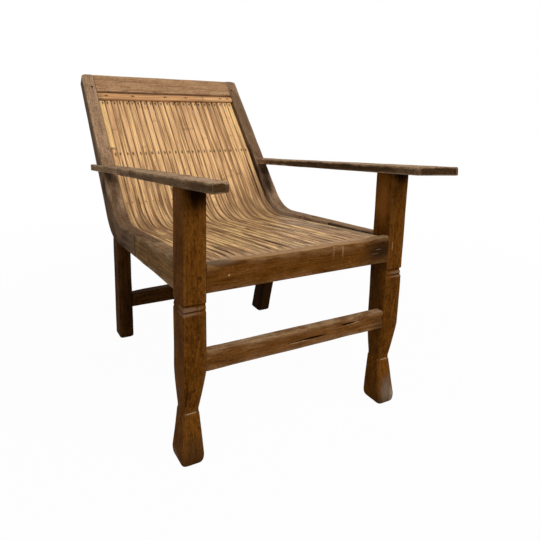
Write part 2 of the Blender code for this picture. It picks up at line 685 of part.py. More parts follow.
def battens(shop, stiles, rails):
    """Battens behind the nail rows of the back, and under the seat."""
    depth = (BEARING_DEPTH, BEARING_DEPTH + BATTEN_DEPTH)
    rows = (
        ("back_batten_upper", UPPER_BATTEN_DOWN, UPPER_BATTEN_WIDTH),
        ("back_batten_middle", MIDDLE_BATTEN_DOWN, BATTEN_WIDTH),
        ("back_batten_lower", LOWER_BATTEN_DOWN, BATTEN_WIDTH),
    )
    for name, down, width in rows:
        batten(shop, name, BACK_FRAME, depth, (-down - width / 2, -down + width / 2), stiles.values())
    seats = (
        ("seat_batten_rear", REAR_SEAT_BATTEN, stiles),
        ("seat_batten_front", FRONT_SEAT_BATTEN, rails),
    )
    for name, back, hosts in seats:
        along = (back - BATTEN_WIDTH / 2, back + BATTEN_WIDTH / 2)
        batten(shop, name, SEAT_FRAME, along, (-BATTEN_DEPTH, 0), hosts.values())


def slat(shop, index, path):
    """Split bamboo slat: a crowned strip bent along the bearing line, drawn in towards the front legs."""
    name = f"slat_{index + 1:02d}"
    back_pitch = 2 * (FRAME_INNER - SLAT_EDGE_GAP) / SLAT_COUNT
    front_pitch = 2 * (LEG_INNER - SLAT_EDGE_GAP) / SLAT_COUNT
    place = index - (SLAT_COUNT - 1) / 2
    travelled = [0.0]
    for a, b in zip(path, path[1:]):
        travelled.append(travelled[-1] + (b - a).length)
    section = ((-1.0, 0.0), (-SLAT_FLAT, SLAT_CROWN), (SLAT_FLAT, SLAT_CROWN), (1.0, 0.0))
    rows = len(path) - 1
    columns = len(section) - 1
    bm = bmesh.new()
    bmesh.ops.create_grid(bm, x_segments=columns, y_segments=rows, size=0.5)
    for vert in bm.verts:
        across, rise = section[round((vert.co.x + 0.5) * columns)]
        row = round((0.5 - vert.co.y) * rows)
        before, after = path[max(row - 1, 0)], path[min(row + 1, rows)]
        along = (after - before).normalized()
        share = travelled[row] / travelled[-1]
        pitch = back_pitch + (front_pitch - back_pitch) * share
        point = path[row] + Vector((along.y, -along.x)) * (FIT + SLAT_WALL + rise)
        vert.co = (pitch * place + across * (pitch - SLAT_GAP) / 2, point.x, point.y)
    strip = shop.add(name, mesh_from(bm, name), Matrix.Identity(4), shop.bamboo)
    wall = strip.modifiers.new("bamboo_wall", "SOLIDIFY")
    wall.thickness = SLAT_WALL
    wall.offset = -1.0
    return strip


def cover_batten(shop):
    """Split bamboo batten nailed over the slats' upper ends, between the stiles."""
    reach = FRAME_INNER - FIT
    back = SLAT_RECESS - FIT
    top = -TOP_RAIL_HEIGHT - COVER_GAP
    cover = shop.box("back_cover_batten", (-reach, back - COVER_DEPTH, top - COVER_WIDTH), (reach, back, top),
                     BACK_FRAME, shop.bamboo)
    ease(cover, COVER_ROUND, 2)


def centre_on_floor(shop):
    """Move the empty so that the middle of the footprint is the origin."""
    bpy.context.view_layer.update()
    graph = bpy.context.evaluated_depsgraph_get()
    corners = []
    for item in shop.parts.objects:
        if item.type == "MESH":
            shown = item.evaluated_get(graph)
            corners.extend(shown.matrix_world @ Vector(corner) for corner in shown.bound_box)
    ys = [corner.y for corner in corners]
    shop.origin.location = (0, -(min(ys) + max(ys)) / 2, 0)


def main():
    """Build the chair from the floor up."""
    clear_scene()
    shop = Workshop()
    sides = (LEFT, RIGHT)
    legs = {side: front_leg(shop, side) for side in sides}
    stiles, rails, rear_legs = {}, {}, {}
    for side in sides:
        stiles[side], rails[side], room = side_frame(shop, side)
        join_rail_to_leg(shop, side, rails[side], legs[side])
        arm(shop, side, legs[side], room)
        rear_legs[side] = rear_leg(shop, side, stiles[side], room)
    front_rails(shop, legs)
    rear_stretcher(shop, rear_legs)
    top_rail(shop, stiles)
    battens(shop, stiles, rails)
    path = slat_path()
    for index in range(SLAT_COUNT):
        slat(shop, index, path)
    cover_batten(shop)
    centre_on_floor(shop)


main()
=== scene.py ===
"""Plantation chair: worn hardwood timbers and bent split bamboo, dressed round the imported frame.

Lengths are metres. Shapes are laid out with y = 0 at the front face of the front legs and z = 0 on the floor.
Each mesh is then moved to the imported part's place. The sitter faces -Y, and left and right are the sitter's.
"""

from __future__ import annotations

import logging
import math
from collections.abc import Iterable
from dataclasses import dataclass, field
from enum import Enum
from typing import Any

import bpy
import numpy as np
from mathutils import Matrix, Vector


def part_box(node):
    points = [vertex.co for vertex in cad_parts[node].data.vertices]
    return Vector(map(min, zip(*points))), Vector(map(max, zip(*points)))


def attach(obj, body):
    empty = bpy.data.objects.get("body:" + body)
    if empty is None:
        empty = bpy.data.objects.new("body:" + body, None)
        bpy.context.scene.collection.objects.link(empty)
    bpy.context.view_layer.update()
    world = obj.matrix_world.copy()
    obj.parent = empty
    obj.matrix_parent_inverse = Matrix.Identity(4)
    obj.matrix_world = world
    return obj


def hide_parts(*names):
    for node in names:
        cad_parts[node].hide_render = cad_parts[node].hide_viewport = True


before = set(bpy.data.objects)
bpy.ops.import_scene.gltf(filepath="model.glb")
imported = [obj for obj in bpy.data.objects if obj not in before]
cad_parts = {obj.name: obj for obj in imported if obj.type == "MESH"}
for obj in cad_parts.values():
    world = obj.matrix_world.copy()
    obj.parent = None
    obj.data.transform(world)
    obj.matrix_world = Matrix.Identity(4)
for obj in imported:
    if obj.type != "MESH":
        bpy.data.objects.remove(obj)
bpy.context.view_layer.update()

LOG = logging.getLogger("plantation_chair")
BODY = "root"
PICTURE_SIDE = 540
SHARP_ANGLE = math.radians(38.0)

# Short names of types

Array = np.ndarray
Colour = tuple[float, float, float]
Triple = tuple[float, float, float]
Numbers = tuple[float, ...]
Reals = np.ndarray | float
Material = bpy.types.Material
Mesh = bpy.types.Mesh


class Side(Enum):
    """The sitter's own sides; the value is the sign of x."""

    LEFT = 1
    RIGHT = -1

    @property
    def word(self) -> str:
        """Name used in the part's nodes."""
        return self.name.lower()


class Slot(Enum):
    """Material slots of the record; each piece here is passed one, which nothing uses."""

    WARM = "warm_hardwood"
    GREY = "weathered_hardwood"
    DARK = "shaded_hardwood"
    BAMBOO = "split_bamboo"


# Shader graphs


class Value:
    """One output socket of a shader graph; arithmetic on it adds Math nodes."""

    def __init__(self, graph: Graph, socket: bpy.types.NodeSocket) -> None:
        """Keep the socket and the graph that it belongs to."""
        self.graph = graph
        self.socket = socket

    def math(self, operation: str, *others: Value | float) -> Value:
        """Add a Math node that works on this value and others."""
        return self.graph.node("Math", {"operation": operation}, dict(enumerate((self, *others))))

    def __add__(self, other: Value | float) -> Value:
        """Sum."""
        return self.math("ADD", other)

    __radd__ = __add__

    def __mul__(self, other: Value | float) -> Value:
        """Product."""
        return self.math("MULTIPLY", other)

    __rmul__ = __mul__

    def __sub__(self, other: Value | float) -> Value:
        """Difference."""
        return self.math("SUBTRACT", other)

    def __rsub__(self, other: float) -> Value:
        """Number less this value."""
        return self.math("MULTIPLY", -1.0).math("ADD", other)

    def least(self, other: Value | float) -> Value:
        """Smaller of two values."""
        return self.math("MINIMUM", other)

    def most(self, other: Value | float) -> Value:
        """Larger of two values."""
        return self.math("MAXIMUM", other)

    def rise(self, low: float, high: float) -> Value:
        """Smooth step from 0 at low to 1 at high; low may be the larger."""
        sockets = {"Value": self, "From Min": low, "From Max": high, "To Min": 0.0, "To Max": 1.0}
        return self.graph.node("MapRange", {"interpolation_type": "SMOOTHSTEP"}, sockets)


class Graph:
    """Node tree of a material or of the world, with short ways to add nodes."""

    def __init__(self, tree: bpy.types.NodeTree) -> None:
        """Keep the tree."""
        self.tree = tree

    def node(self, kind: str, settings: dict[str, Any] | None = None,
             sockets: dict[str | int, Any] | None = None, output: str | int | None = 0) -> Value | None:
        """Add a node.

        Args:
            kind: the node's type, without ShaderNode before it.
            settings: properties of the node, set before its sockets.
            sockets: numbers, colours or values for its inputs.
            output: the output that is wanted, if any.

        Returns:
            That output as a value.
        """
        made = self.tree.nodes.new(f"ShaderNode{kind}")
        for key, setting in (settings or {}).items():
            setattr(made, key, setting)
        for key, given in (sockets or {}).items():
            self.feed(made.inputs[key], given)
        return None if output is None else Value(self, made.outputs[output])

    def feed(self, socket: bpy.types.NodeSocket, given: Any) -> None:
        """Link a value to a socket, or set the socket to a number or a colour.

        Args:
            socket: the input.
            given: what it gets.
        """
        if isinstance(given, Value):
            self.tree.links.new(given.socket, socket)
        elif socket.type == "RGBA":
            socket.default_value = (*given, 1.0)
        else:
            socket.default_value = given

    def attribute(self, name: str, output: str = "Fac") -> Value:
        """Attribute of the piece's own mesh."""
        return self.node("Attribute", {"attribute_name": name}, output=output)

    def stretch(self, place: Value, scale: Triple) -> Value:
        """Place multiplied axis by axis."""
        return self.node("VectorMath", {"operation": "MULTIPLY"}, {0: place, 1: scale})

    def shift(self, place: Value, x: Value | float, y: Value | float, z: Value | float) -> Value:
        """Place moved by three values."""
        move = self.node("CombineXYZ", None, {0: x, 1: y, 2: z})
        return self.node("VectorMath", {"operation": "ADD"}, {0: place, 1: move})

    def length(self, place: Value) -> Value:
        """Distance of a place from the origin."""
        return self.node("VectorMath", {"operation": "LENGTH"}, {0: place}, "Value")

    def part(self, place: Value, axis: str) -> Value:
        """One coordinate of a place."""
        return self.node("SeparateXYZ", None, {0: place}, axis)

    def noise(self, place: Value, scale: float, detail: float = 2.0, roughness: float = 0.5) -> Value:
        """Cloudy noise from about 0.2 to 0.8."""
        sockets = {"Vector": place, "Scale": scale, "Detail": detail, "Roughness": roughness}
        return self.node("TexNoise", None, sockets)

    def grain(self, place: Value, along: float, scale: float, detail: float = 2.0,
              roughness: float = 0.5) -> Value:
        """Noise that is drawn out along the third axis, where its scale is multiplied by along."""
        return self.noise(self.stretch(place, (1.0, 1.0, along)), scale, detail, roughness)

    def mix(self, share: Value | float, first: Value | Colour, second: Value | Colour) -> Value:
        """Blend of two colours.

        Args:
            share: how much of the second colour shows.
            first: colour at a share of 0.
            second: colour at a share of 1.

        Returns:
            The blended colour.
        """
        return self.node("Mix", {"data_type": "RGBA"}, {0: share, 6: first, 7: second}, 2)


class Surface(Graph):
    """Node tree of one material, round a Principled shader."""

    def __init__(self, name: str, ground: Colour) -> None:
        """Start a material.

        Args:
            name: name of the material.
            ground: the colour under all others.
        """
        self.colour: Value | Colour = ground
        self.material = bpy.data.materials.new(name)
        self.material.use_nodes = True
        super().__init__(self.material.node_tree)
        self.tree.nodes.clear()
        self.shader = self.tree.nodes.new("ShaderNodeBsdfPrincipled")
        output = self.tree.nodes.new("ShaderNodeOutputMaterial")
        self.tree.links.new(self.shader.outputs[0], output.inputs["Surface"])

    def lay(self, share: Value, tint: Colour) -> None:
        """Lay a share of another colour over those before it."""
        self.colour = self.mix(share, self.colour, tint)

    def dress(self, roughness: Value, height: Value, depth: float, specular: float) -> None:
        """Feed the Principled shader, with all the colours that were laid.

        Args:
            roughness: roughness.
            height: relief from 0 to 1.
            depth: what a relief of 1 stands for, in metres.
            specular: specular level, the same all over.
        """
        self.feed(self.shader.inputs["Base Color"], self.colour)
        self.feed(self.shader.inputs["Roughness"], roughness)
        self.shader.inputs["Specular IOR Level"].default_value = specular
        bump = self.node("Bump", None, {"Height": height, "Distance": depth, "Strength": 1.0})
        self.feed(self.shader.inputs["Normal"], bump)


# Finishes


class Kind(Enum):
    """What a mark on a timber is: (colour, share of that colour, relief)."""

    KNOT = ((0.018, 0.007, 0.002), 0.60, -0.3)
    CRACK = ((0.006, 0.003, 0.001), 0.97, -1.6)
    SCUFF = ((0.42, 0.31, 0.21), 0.70, -0.2)
    # grime, and painted shade in recesses, beside the slats and on faces turned from the light
    GRIME = ((0.014, 0.007, 0.003), 0.72, 0.0)
    # painted shadow: the near-black shadow that the arms cast below them
    GLOOM = ((0.004, 0.0012, 0.0003), 0.95, 0.0)
    # painted shade: a darker tint where a face lies in shade
    SHADE = ((0.045, 0.022, 0.009), 0.55, 0.0)
    # dust on the grooves' facets, with a painted highlight where they face the light
    DUST = ((0.150, 0.088, 0.050), 0.80, 0.0)
    RUBBED = ((0.36, 0.22, 0.115), 0.75, 0.0)
    GREYED = ((0.19, 0.145, 0.105), 0.70, 0.0)
    # painted light: a warmer, lighter patch on a face that the light reaches
    WARMED = ((0.21, 0.078, 0.015), 0.85, 0.0)


@dataclass(frozen=True)
class Mark:
    """A mark on a timber: an ellipsoid in the timber's own place (across, depth, along)."""

    kind: Kind
    centre: Triple
    reach: Triple
    ragged: float = 0.35
    fine: float = 160.0
    soft: float = 0.38

    def mask(self, graph: Graph, place: Value) -> Value:
        """1 inside the mark, 0 outside, with a ragged edge.

        Args:
            graph: graph that gets the nodes.
            place: place on the timber.

        Returns:
            The mask.
        """
        away = graph.shift(place, *(-c for c in self.centre))
        scaled = graph.stretch(away, tuple(1.0 / r for r in self.reach))
        rough = graph.grain(place, 0.3, self.fine, 3.0)
        return (graph.length(scaled) + (rough - 0.5) * (self.ragged * 3.0)).rise(1.0, 1.0 - self.soft)


Marks = tuple[Mark, ...]


@dataclass(frozen=True)
class Wood:
    """Finish of a hardwood timber; the grain runs along the third axis of the timber's place."""

    body: Colour
    dark: Colour
    pale: Colour
    wear: float
    dust: float
    roughness: float
    dirt: float = 0.35
    streak: float = 1.0
    sawn: Colour = (0.050, 0.024, 0.008)
    specular: float = 0.004
    speckle: float = 0.85
    relief: float = 0.0009

    def material(self, name: str, place_of: PlaceOnTimber,
                 marks: Marks = ()) -> Material:
        """Make the material of one timber.

        Args:
            name: name of the material.
            place_of: where the timber's place and its edges are read from.
            marks: knots, cracks and other marks on this timber.

        Returns:
            The material.
        """
        g = Surface(name, self.dark)
        place = place_of.place(g)
        edge = place_of.edge(g)
        end = place_of.end(g)
        slow = g.grain(place, 0.22, 14.0, 2.0)
        sway = (slow - 0.5) * 0.03
        wavy = g.shift(place, sway, sway, 0.0)
        bands = g.grain(wavy, 0.03, 130.0, 4.0, 0.62)
        fibre = g.grain(wavy, 0.018, 520.0, 3.0, 0.6)
        pores = g.grain(wavy, 0.03, 1500.0, 1.0).rise(0.60, 0.70)
        fleck = g.grain(wavy, 0.14, 340.0, 2.0).rise(0.62, 0.72)
        blotch = g.noise(place, 16.0, 4.0, 0.6)
        cloud = g.grain(place, 0.4, 45.0, 3.0)
        tone = ((bands - 0.5) * (0.8 * self.streak) + (fibre - 0.5) * 0.7 + (cloud - 0.5) * 0.4) + 0.5
        g.lay(tone.rise(0.26, 0.60), self.body)
        g.lay(tone.rise(0.56, 0.80) * 0.35, self.pale)
        g.lay(blotch.rise(0.46, 0.72) * self.dirt, self.dark)
        up = g.part(g.node("TexCoord", output="Normal"), "Z").rise(0.35, 0.9)
        worn = (edge * (cloud.rise(0.34, 0.62) * 0.9 + 0.1) * self.wear).least(1.0)
        dusty = up * (blotch.rise(0.62, 0.30) * 0.6 + fibre.rise(0.35, 0.65) * 0.4) * self.dust
        g.lay(worn.most(dusty).least(0.9), self.pale)
        g.lay(end * 0.9, self.sawn)
        g.lay((pores * 0.4).most(fleck * 0.6), self.dark)
        speckle = g.grain(place, 0.45, 260.0, 3.0, 0.75)
        g.lay(speckle.rise(0.47, 0.34) * self.speckle, self.dark)
        g.lay(speckle.rise(0.54, 0.70) * (self.speckle * 0.6), self.pale)
        height = bands * 0.30 + fibre * 0.30 - pores * 0.35 - fleck * 0.4 + cloud * 0.25 + speckle * 0.4
        for mark in marks:
            mask = mark.mask(g, place)
            tint, share, relief = mark.kind.value
            g.lay(mask * share, tint)
            height = height + mask * relief
        roughness = (blotch - 0.5) * 0.3 + (fibre - 0.5) * 0.15 + worn * 0.08 + self.roughness
        g.dress(roughness, height, self.relief, self.specular)
        return g.material


@dataclass(frozen=True)
class Bamboo:
    """Finish of the split bamboo: gold skin over fibres, darker at the rings and the nails, darker at the
    edges with dirt and painted shade, with painted highlights and painted shade along its lanes.
    """

    gold: Colour = (0.72, 0.43, 0.215)
    tan: Colour = (0.57, 0.33, 0.165)
    brown: Colour = (0.33, 0.18, 0.085)
    umber: Colour = (0.085, 0.042, 0.017)
    # yellow of clean skin, also laid as painted highlights
    straw: Colour = (0.90, 0.60, 0.26)
    patina: Colour = (0.200, 0.113, 0.054)
    rubbed: Colour = (0.40, 0.245, 0.13)
    roughness: float = 0.45
    specular: float = 0.05
    relief: float = 0.0005

    def material(self, name: str, nails: Numbers = ()) -> Material:
        """Make the material.

        Args:
            name: name of the material.
            nails: distances along the strip at which nails have stained it.

        Returns:
            The material.
        """
        g = Surface(name, self.brown)
        place = g.attribute("grain", "Vector")
        tone, ring, skin, edge = (g.attribute(key) for key in ("tone", "ring", "skin", "edge"))
        bright, used, rough = (g.attribute(key) for key in ("bright", "used", "rough"))
        across = g.part(place, "X")
        along = g.part(place, "Z")
        own = g.shift(place, tone * 3.7, tone * 1.9, tone * 5.3)
        fibre = g.grain(own, 0.012, 900.0, 3.0, 0.6)
        streak = g.grain(own, 0.02, 320.0, 3.0, 0.65)
        split = g.grain(own, 0.007, 430.0, 1.0).rise(0.615, 0.68)
        patch = g.grain(own, 0.30, 26.0, 3.0, 0.55)
        speck = g.grain(own, 0.35, 420.0, 2.0).rise(0.66, 0.74)
        vein = g.grain(own, 0.03, 150.0, 2.0, 0.6)
        mood = tone * 0.45 + (patch - 0.5) * (rough * 0.8 + 1.3) + (streak - 0.5) * 2.2
        mood = mood + (vein - 0.5) * rough * 1.2 + 0.34
        g.lay(mood.rise(0.12, 0.46), self.tan)
        g.lay(mood.rise(0.46, 0.84), self.gold)
        # clean yellow skin and gold veins, with painted highlights on the crowns
        sheen = (skin * streak.rise(0.52, 0.66) * 0.55 + bright * (streak.rise(0.38, 0.54) * 0.7 + 0.3)
                 + rough * vein.rise(0.53, 0.59) * streak.rise(0.40, 0.56) * 0.75).least(0.92)
        g.lay(sheen, self.straw)
        aged = used * (patch.rise(0.66, 0.34) * 0.6 + streak.rise(0.60, 0.40) * 0.40 + 0.05)
        g.lay(aged, self.patina)
        g.lay((1.0 - skin) * 0.5, self.brown)
        g.lay(fibre.rise(0.50, 0.36) * 0.35, self.brown)
        g.lay((split * 0.55).most(rough * vein.rise(0.45, 0.39) * 0.30), self.umber)
        # edges darker with dirt and with painted shade between the slats
        grubby = (edge * (patch.rise(0.44, 0.60) * 0.85 + 0.12) * (used * 0.30 + 0.7)).least(0.96)
        g.lay(grubby, self.umber)
        # painted highlights on random lanes of the crown
        gleam = streak.rise(0.36, 0.52) * 0.35 + rough * 0.40 + 0.15
        g.lay(g.attribute("gleam").rise(0.30, 0.80) * gleam, self.straw)
        # painted shade in the slits and along random lanes
        line = streak.rise(0.64, 0.40) * 0.3 + rough * 0.30 + 0.40
        g.lay(g.attribute("line").rise(0.25, 0.90) * line, self.umber)
        g.lay(ring * 0.7, self.patina)
        g.lay(speck * 0.4, self.umber)
        rubbed = g.attribute("rubbed") * (patch.rise(0.30, 0.60) * 0.25 + 0.65)
        g.lay(rubbed, self.rubbed)
        stain = ring * 0.0
        nail_at = g.attribute("nail_at")
        for row in nails:
            sides = {0: across - nail_at, 1: (along - row) * 0.45, 2: 0.0}
            near = g.node("CombineXYZ", None, sides)
            stain = stain.most((g.length(near) + (streak - 0.5) * 0.003).rise(0.0046, 0.0014))
        g.lay(stain * 0.8, self.umber)
        height = fibre * 0.5 + streak * 0.35 - speck * 0.3 - split * 0.5
        roughness = (patch - 0.5) * 0.25 + (streak - 0.5) * 0.2 + grubby * 0.2 + self.roughness
        g.dress(roughness, height, self.relief, self.specular)
        return g.material


@dataclass(frozen=True)
class Iron:
    """Finish of old nail heads: dark, rusty iron."""

    scale: Colour = (0.012, 0.008, 0.006)
    rust: Colour = (0.040, 0.017, 0.008)
    metallic: float = 0.3
    specular: float = 0.2
    relief: float = 0.0003

    def material(self, name: str) -> Material:
        """Make the material.

        Args:
            name: name of the material.

        Returns:
            The material.
        """
        g = Surface(name, self.scale)
        place = g.node("TexCoord", output="Object")
        grit = g.noise(place, 1400.0, 3.0)
        patch = g.noise(place, 300.0, 2.0)
        g.lay(patch.rise(0.42, 0.62), self.rust)
        g.dress(grit * 0.3 + 0.5, grit, self.relief, self.specular)
        g.shader.inputs["Metallic"].default_value = self.metallic
        return g.material


class PlaceOnTimber:
    """Reads a swept timber's own attributes."""

    def place(self, g: Graph) -> Value:
        """Place on the timber: across, depth and along, in metres."""
        return g.attribute("grain", "Vector")

    def edge(self, g: Graph) -> Value:
        """1 on the worn edges, 0 in the middle of a face."""
        return g.attribute("edge")

    def end(self, g: Graph) -> Value:
        """1 on the sawn ends."""
        return g.attribute("end")


@dataclass
class PlaceInBox(PlaceOnTimber):
    """Works the same out for a straight node of the frame, from its Object coordinates."""

    turn: Triple

    def place(self, g: Graph) -> Value:
        """Object coordinates turned so that the third axis runs along the grain.

        Args:
            g: graph that gets the nodes.

        Returns:
            The place.
        """
        objects = g.node("TexCoord", output="Object")
        turned = {"Vector": objects, "Rotation": self.turn}
        return g.node("Mapping", {"vector_type": "POINT"}, turned)

    def edge(self, g: Graph) -> Value:
        """No worn edges are known on a plain node, so a broken pattern stands for them."""
        return g.noise(self.place(g), 60.0, 3.0).rise(0.58, 0.75) * 0.5

    def end(self, g: Graph) -> Value:
        """No sawn ends show."""
        return self.edge(g) * 0.0


# Surfaces


def ripple(along: Array, seed: int, wavelength: float) -> Array:
    """Smooth random curve from about -1 to 1: a sum of five sines of seeded lengths and phases.

    Args:
        along: distances at which the curve is wanted.
        seed: seed of the generator.
        wavelength: longest wave.

    Returns:
        The curve's values.
    """
    draw = np.random.default_rng(seed)
    waves = 2.0 * np.pi / (wavelength * draw.uniform(0.22, 1.0, 5))
    phases = draw.uniform(0.0, 2.0 * np.pi, 5)
    weights = draw.uniform(0.4, 1.0, 5)
    return (np.sin(along[:, None] * waves + phases) * weights).sum(axis=1) / weights.sum()


def unit(vectors: Array) -> Array:
    """Vectors of length 1 along the last axis."""
    return vectors / np.linalg.norm(vectors, axis=-1, keepdims=True)


def distances(points: Array) -> Array:
    """Distance along a line of points, from the first of them."""
    steps = np.linalg.norm(np.diff(points, axis=0), axis=1)
    return np.concatenate(([0.0], np.cumsum(steps)))


def ramp(value: Reals, start: float, stop: float) -> Array:
    """Straight rise from 0 at one value to 1 at another, held beyond both."""
    return np.clip((value - start) / (stop - start), 0.0, 1.0)


def rounding(along: Array, radius: float) -> Array:
    """How far a quarter circle lies inside its sharp corner: r - sqrt(r^2 - (r - d)^2) at a distance d."""
    return radius * (1.0 - np.sqrt(1.0 - (1.0 - ramp(along, 0.0, radius)) ** 2))


def bent_edge(start: Array, corner: Array, end: Array, radius: float, counts: Triple) -> Array:
    """Straight, arc, straight: the line start-corner-end with its corner rounded.

    The arc's centre lies on the bisector, radius / sin(half the angle) from the corner.

    Args:
        start: first point (y, z).
        corner: sharp corner.
        end: last point.
        radius: radius of the arc.
        counts: points on the first straight, the arc and the last straight.

    Returns:
        The points in order.
    """
    before = unit(start - corner)
    after = unit(end - corner)
    half = math.acos(float(before @ after)) / 2.0
    centre = corner + unit(before + after) * radius / math.sin(half)
    tangent = radius / math.tan(half)
    first = corner + before * tangent - centre
    last = corner + after * tangent - centre
    sweep = math.atan2(first[0] * last[1] - first[1] * last[0], float(first @ last))
    turns = np.linspace(0.0, sweep, counts[1] + 1)[:, None]
    aside = np.array((-first[1], first[0]))
    arc = centre + first * np.cos(turns) + aside * np.sin(turns)
    lead = np.linspace(start, arc[0], counts[0] + 1)[:-1]
    tail = np.linspace(arc[-1], end, counts[2] + 1)[1:]
    return np.concatenate((lead, arc, tail))


def points_at(x: Reals, y: Reals, z: Reals) -> Array:
    """Points or directions from x, y and z, each one number or one for each station."""
    return np.stack(np.broadcast_arrays(x, y, z), axis=-1)


def section_of(outline: Iterable[tuple[Reals, Reals]]) -> Array:
    """Corners of a section at each station, from one pair (u, w) for each: (count, corners, 2)."""
    values = np.broadcast_arrays(*(value for pair in outline for value in pair))
    return np.stack(values, axis=-1).reshape(-1, len(values) // 2, 2)


def four_sides(low_u: Reals, high_u: Reals, low_w: Reals, high_w: Reals) -> Array:
    """Corners of an off-centre rectangle at each station, anticlockwise: (count, 4, 2)."""
    return section_of(((high_u, high_w), (low_u, high_w), (low_u, low_w), (high_u, low_w)))


def rectangle(half_across: Reals, half_depth: Reals) -> Array:
    """Corners of a centred rectangle at each station."""
    return four_sides(-half_across, half_across, -half_depth, half_depth)


def worn_radii(along: Array, radius: float, wear: float, seed: int) -> Array:
    """Radii of four edges at each station: each swells and shrinks by the share called wear."""
    columns = [radius * (1.0 + wear * ripple(along, seed + k, 0.25)) for k in range(4)]
    return np.stack(columns, axis=1)


@dataclass
class Sweep:
    """A section with rounded corners carried along a path.

    A point is origin(i) + across(i) * u + depth(i) * w, where (u, w) runs round the section. A corner c of
    radius r between the directions p and q is the parabola c + p r (1 - s)^2 + q r s^2.
    """

    origin: Array
    across: Array | Triple
    depth: Array | Triple
    corners: Array
    radii: Array | Numbers
    ends: float = 0.003
    arc: int = 4
    shares: Numbers = (0.14, 0.5, 0.86)
    cap_inset: float = 0.004

    def __post_init__(self) -> None:
        """Spread directions, corners and radii that are the same all along over the stations."""
        count = len(self.origin)
        self.across, self.depth = (np.broadcast_to(way, (count, 3)) for way in (self.across, self.depth))
        self.corners = np.broadcast_to(self.corners, (count, *self.corners.shape[1:]))
        self.radii = np.broadcast_to(self.radii, self.corners.shape[:2])

    def end_index(self) -> Array:
        """For each row of the closed mesh, the station that it belongs to; both ends have five rows."""
        count = len(self.origin)
        return np.concatenate(([0] * 5, np.arange(1, count - 1), [count - 1] * 5))

    def with_ends(self) -> Sweep:
        """Add rings that round both ends and close them with a flat middle.

        Returns:
            The sweep with five rows in place of each end station.
        """
        size = self.ends
        moves = np.array((0.0, 0.0, 0.0, 0.25 * size, size))
        insets = np.array((size + self.cap_inset, size + 0.3 * self.cap_inset, 0.75 * size, 0.22 * size, 0.0))
        first = unit(self.origin[1] - self.origin[0])
        last = unit(self.origin[-2] - self.origin[-1])
        origin = np.concatenate((self.origin[0] + moves[:, None] * first, self.origin[1:-1],
                                 self.origin[-1] + moves[::-1, None] * last))
        index = self.end_index()
        inset = np.concatenate((insets, np.zeros(len(index) - 10), insets[::-1]))[:, None, None]
        corners = self.corners[index]
        from_middle = corners - corners.mean(axis=1, keepdims=True)
        corners = corners - np.sign(from_middle) * np.minimum(inset, 0.8 * np.abs(from_middle))
        return Sweep(origin, self.across[index], self.depth[index], corners, self.radii[index],
                     self.ends, self.arc, self.shares, self.cap_inset)

    def section(self) -> tuple[Array, Array]:
        """Carry the rounded outline round every station.

        Returns:
            Points (rows, columns, 2) of the sections, and each column's closeness to a corner.
        """
        to_before = unit(np.roll(self.corners, 1, axis=1) - self.corners)[:, :, None]
        to_after = unit(np.roll(self.corners, -1, axis=1) - self.corners)[:, :, None]
        s = np.linspace(0.0, 1.0, self.arc)[:, None]
        radii = self.radii[:, :, None, None]
        curve = self.corners[:, :, None] + radii * (to_before * (1.0 - s) ** 2 + to_after * s ** 2)
        share = np.array(self.shares)[:, None]
        start = curve[:, :, -1:]
        stop = np.roll(curve[:, :, :1], -1, axis=1)
        ring = np.concatenate((curve, start * (1.0 - share) + stop * share), axis=2)
        away = np.abs(np.array(self.shares) - 0.5) * 2.0
        near = np.concatenate((np.ones(self.arc), np.clip(away - 0.45, 0.0, 1.0)))
        return ring.reshape(len(ring), -1, 2), np.tile(near, self.corners.shape[1])

    def mesh(self, name: str, offset: Triple = (0.0, 0.0, 0.0),
             extra: dict[str, Array] | None = None) -> Mesh:
        """Make the closed mesh with its attributes: grain, edge and end.

        Args:
            name: name of the mesh.
            offset: added to the stored place, so that like timbers differ.
            extra: more attributes, one value for each of the path's own stations.

        Returns:
            The mesh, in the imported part's place.
        """
        longer = self.with_ends()
        section, near = longer.section()
        rows, columns = section.shape[:2]
        points = (longer.origin[:, None] + longer.across[:, None] * section[..., :1]
                  + longer.depth[:, None] * section[..., 1:])
        along = np.broadcast_to(distances(longer.origin)[:, None, None], (rows, columns, 1))
        grain = np.concatenate((section, along), axis=2)
        edge = np.broadcast_to(near, (rows, columns)).copy()
        edge[[2, 3, -4, -3]] = 1.0
        edge[[0, 1, -2, -1]] = 0.0
        end = np.zeros((rows, columns))
        end[[0, 1, -2, -1]] = 1.0
        attributes = {"grain": grain + np.array(offset), "edge": edge, "end": end}
        for key, values in (extra or {}).items():
            attributes[key] = np.broadcast_to(values[self.end_index()][:, None], (rows, columns))
        path = np.gradient(longer.origin, axis=0)
        forward = float((np.cross(longer.across, longer.depth) * path).sum()) > 0.0
        return tube(name, points, attributes, forward)


def tube(name: str, points: Array, attributes: dict[str, Array], forward: bool) -> Mesh:
    """Mesh of a grid of points that closes round its columns, with a flat face on each end.

    Args:
        name: name of the mesh.
        points: (rows, columns, 3), laid out from the front legs' front face.
        attributes: values for each point; three numbers make a vector.
        forward: whether the columns run anticlockwise, seen against the path.

    Returns:
        The mesh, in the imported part's place.
    """
    rows, columns = points.shape[:2]
    index = np.arange(rows * columns).reshape(rows, columns)
    following = np.roll(index, -1, axis=1)
    quads = np.stack((index[:-1], following[:-1], following[1:], index[1:]), axis=-1).reshape(-1, 4)
    caps = [index[0, ::-1].tolist(), index[-1].tolist()]
    if not forward:
        quads = quads[:, ::-1]
        caps = [cap[::-1] for cap in caps]
    return finished_mesh(name, points.reshape(-1, 3), quads.tolist() + caps, attributes)


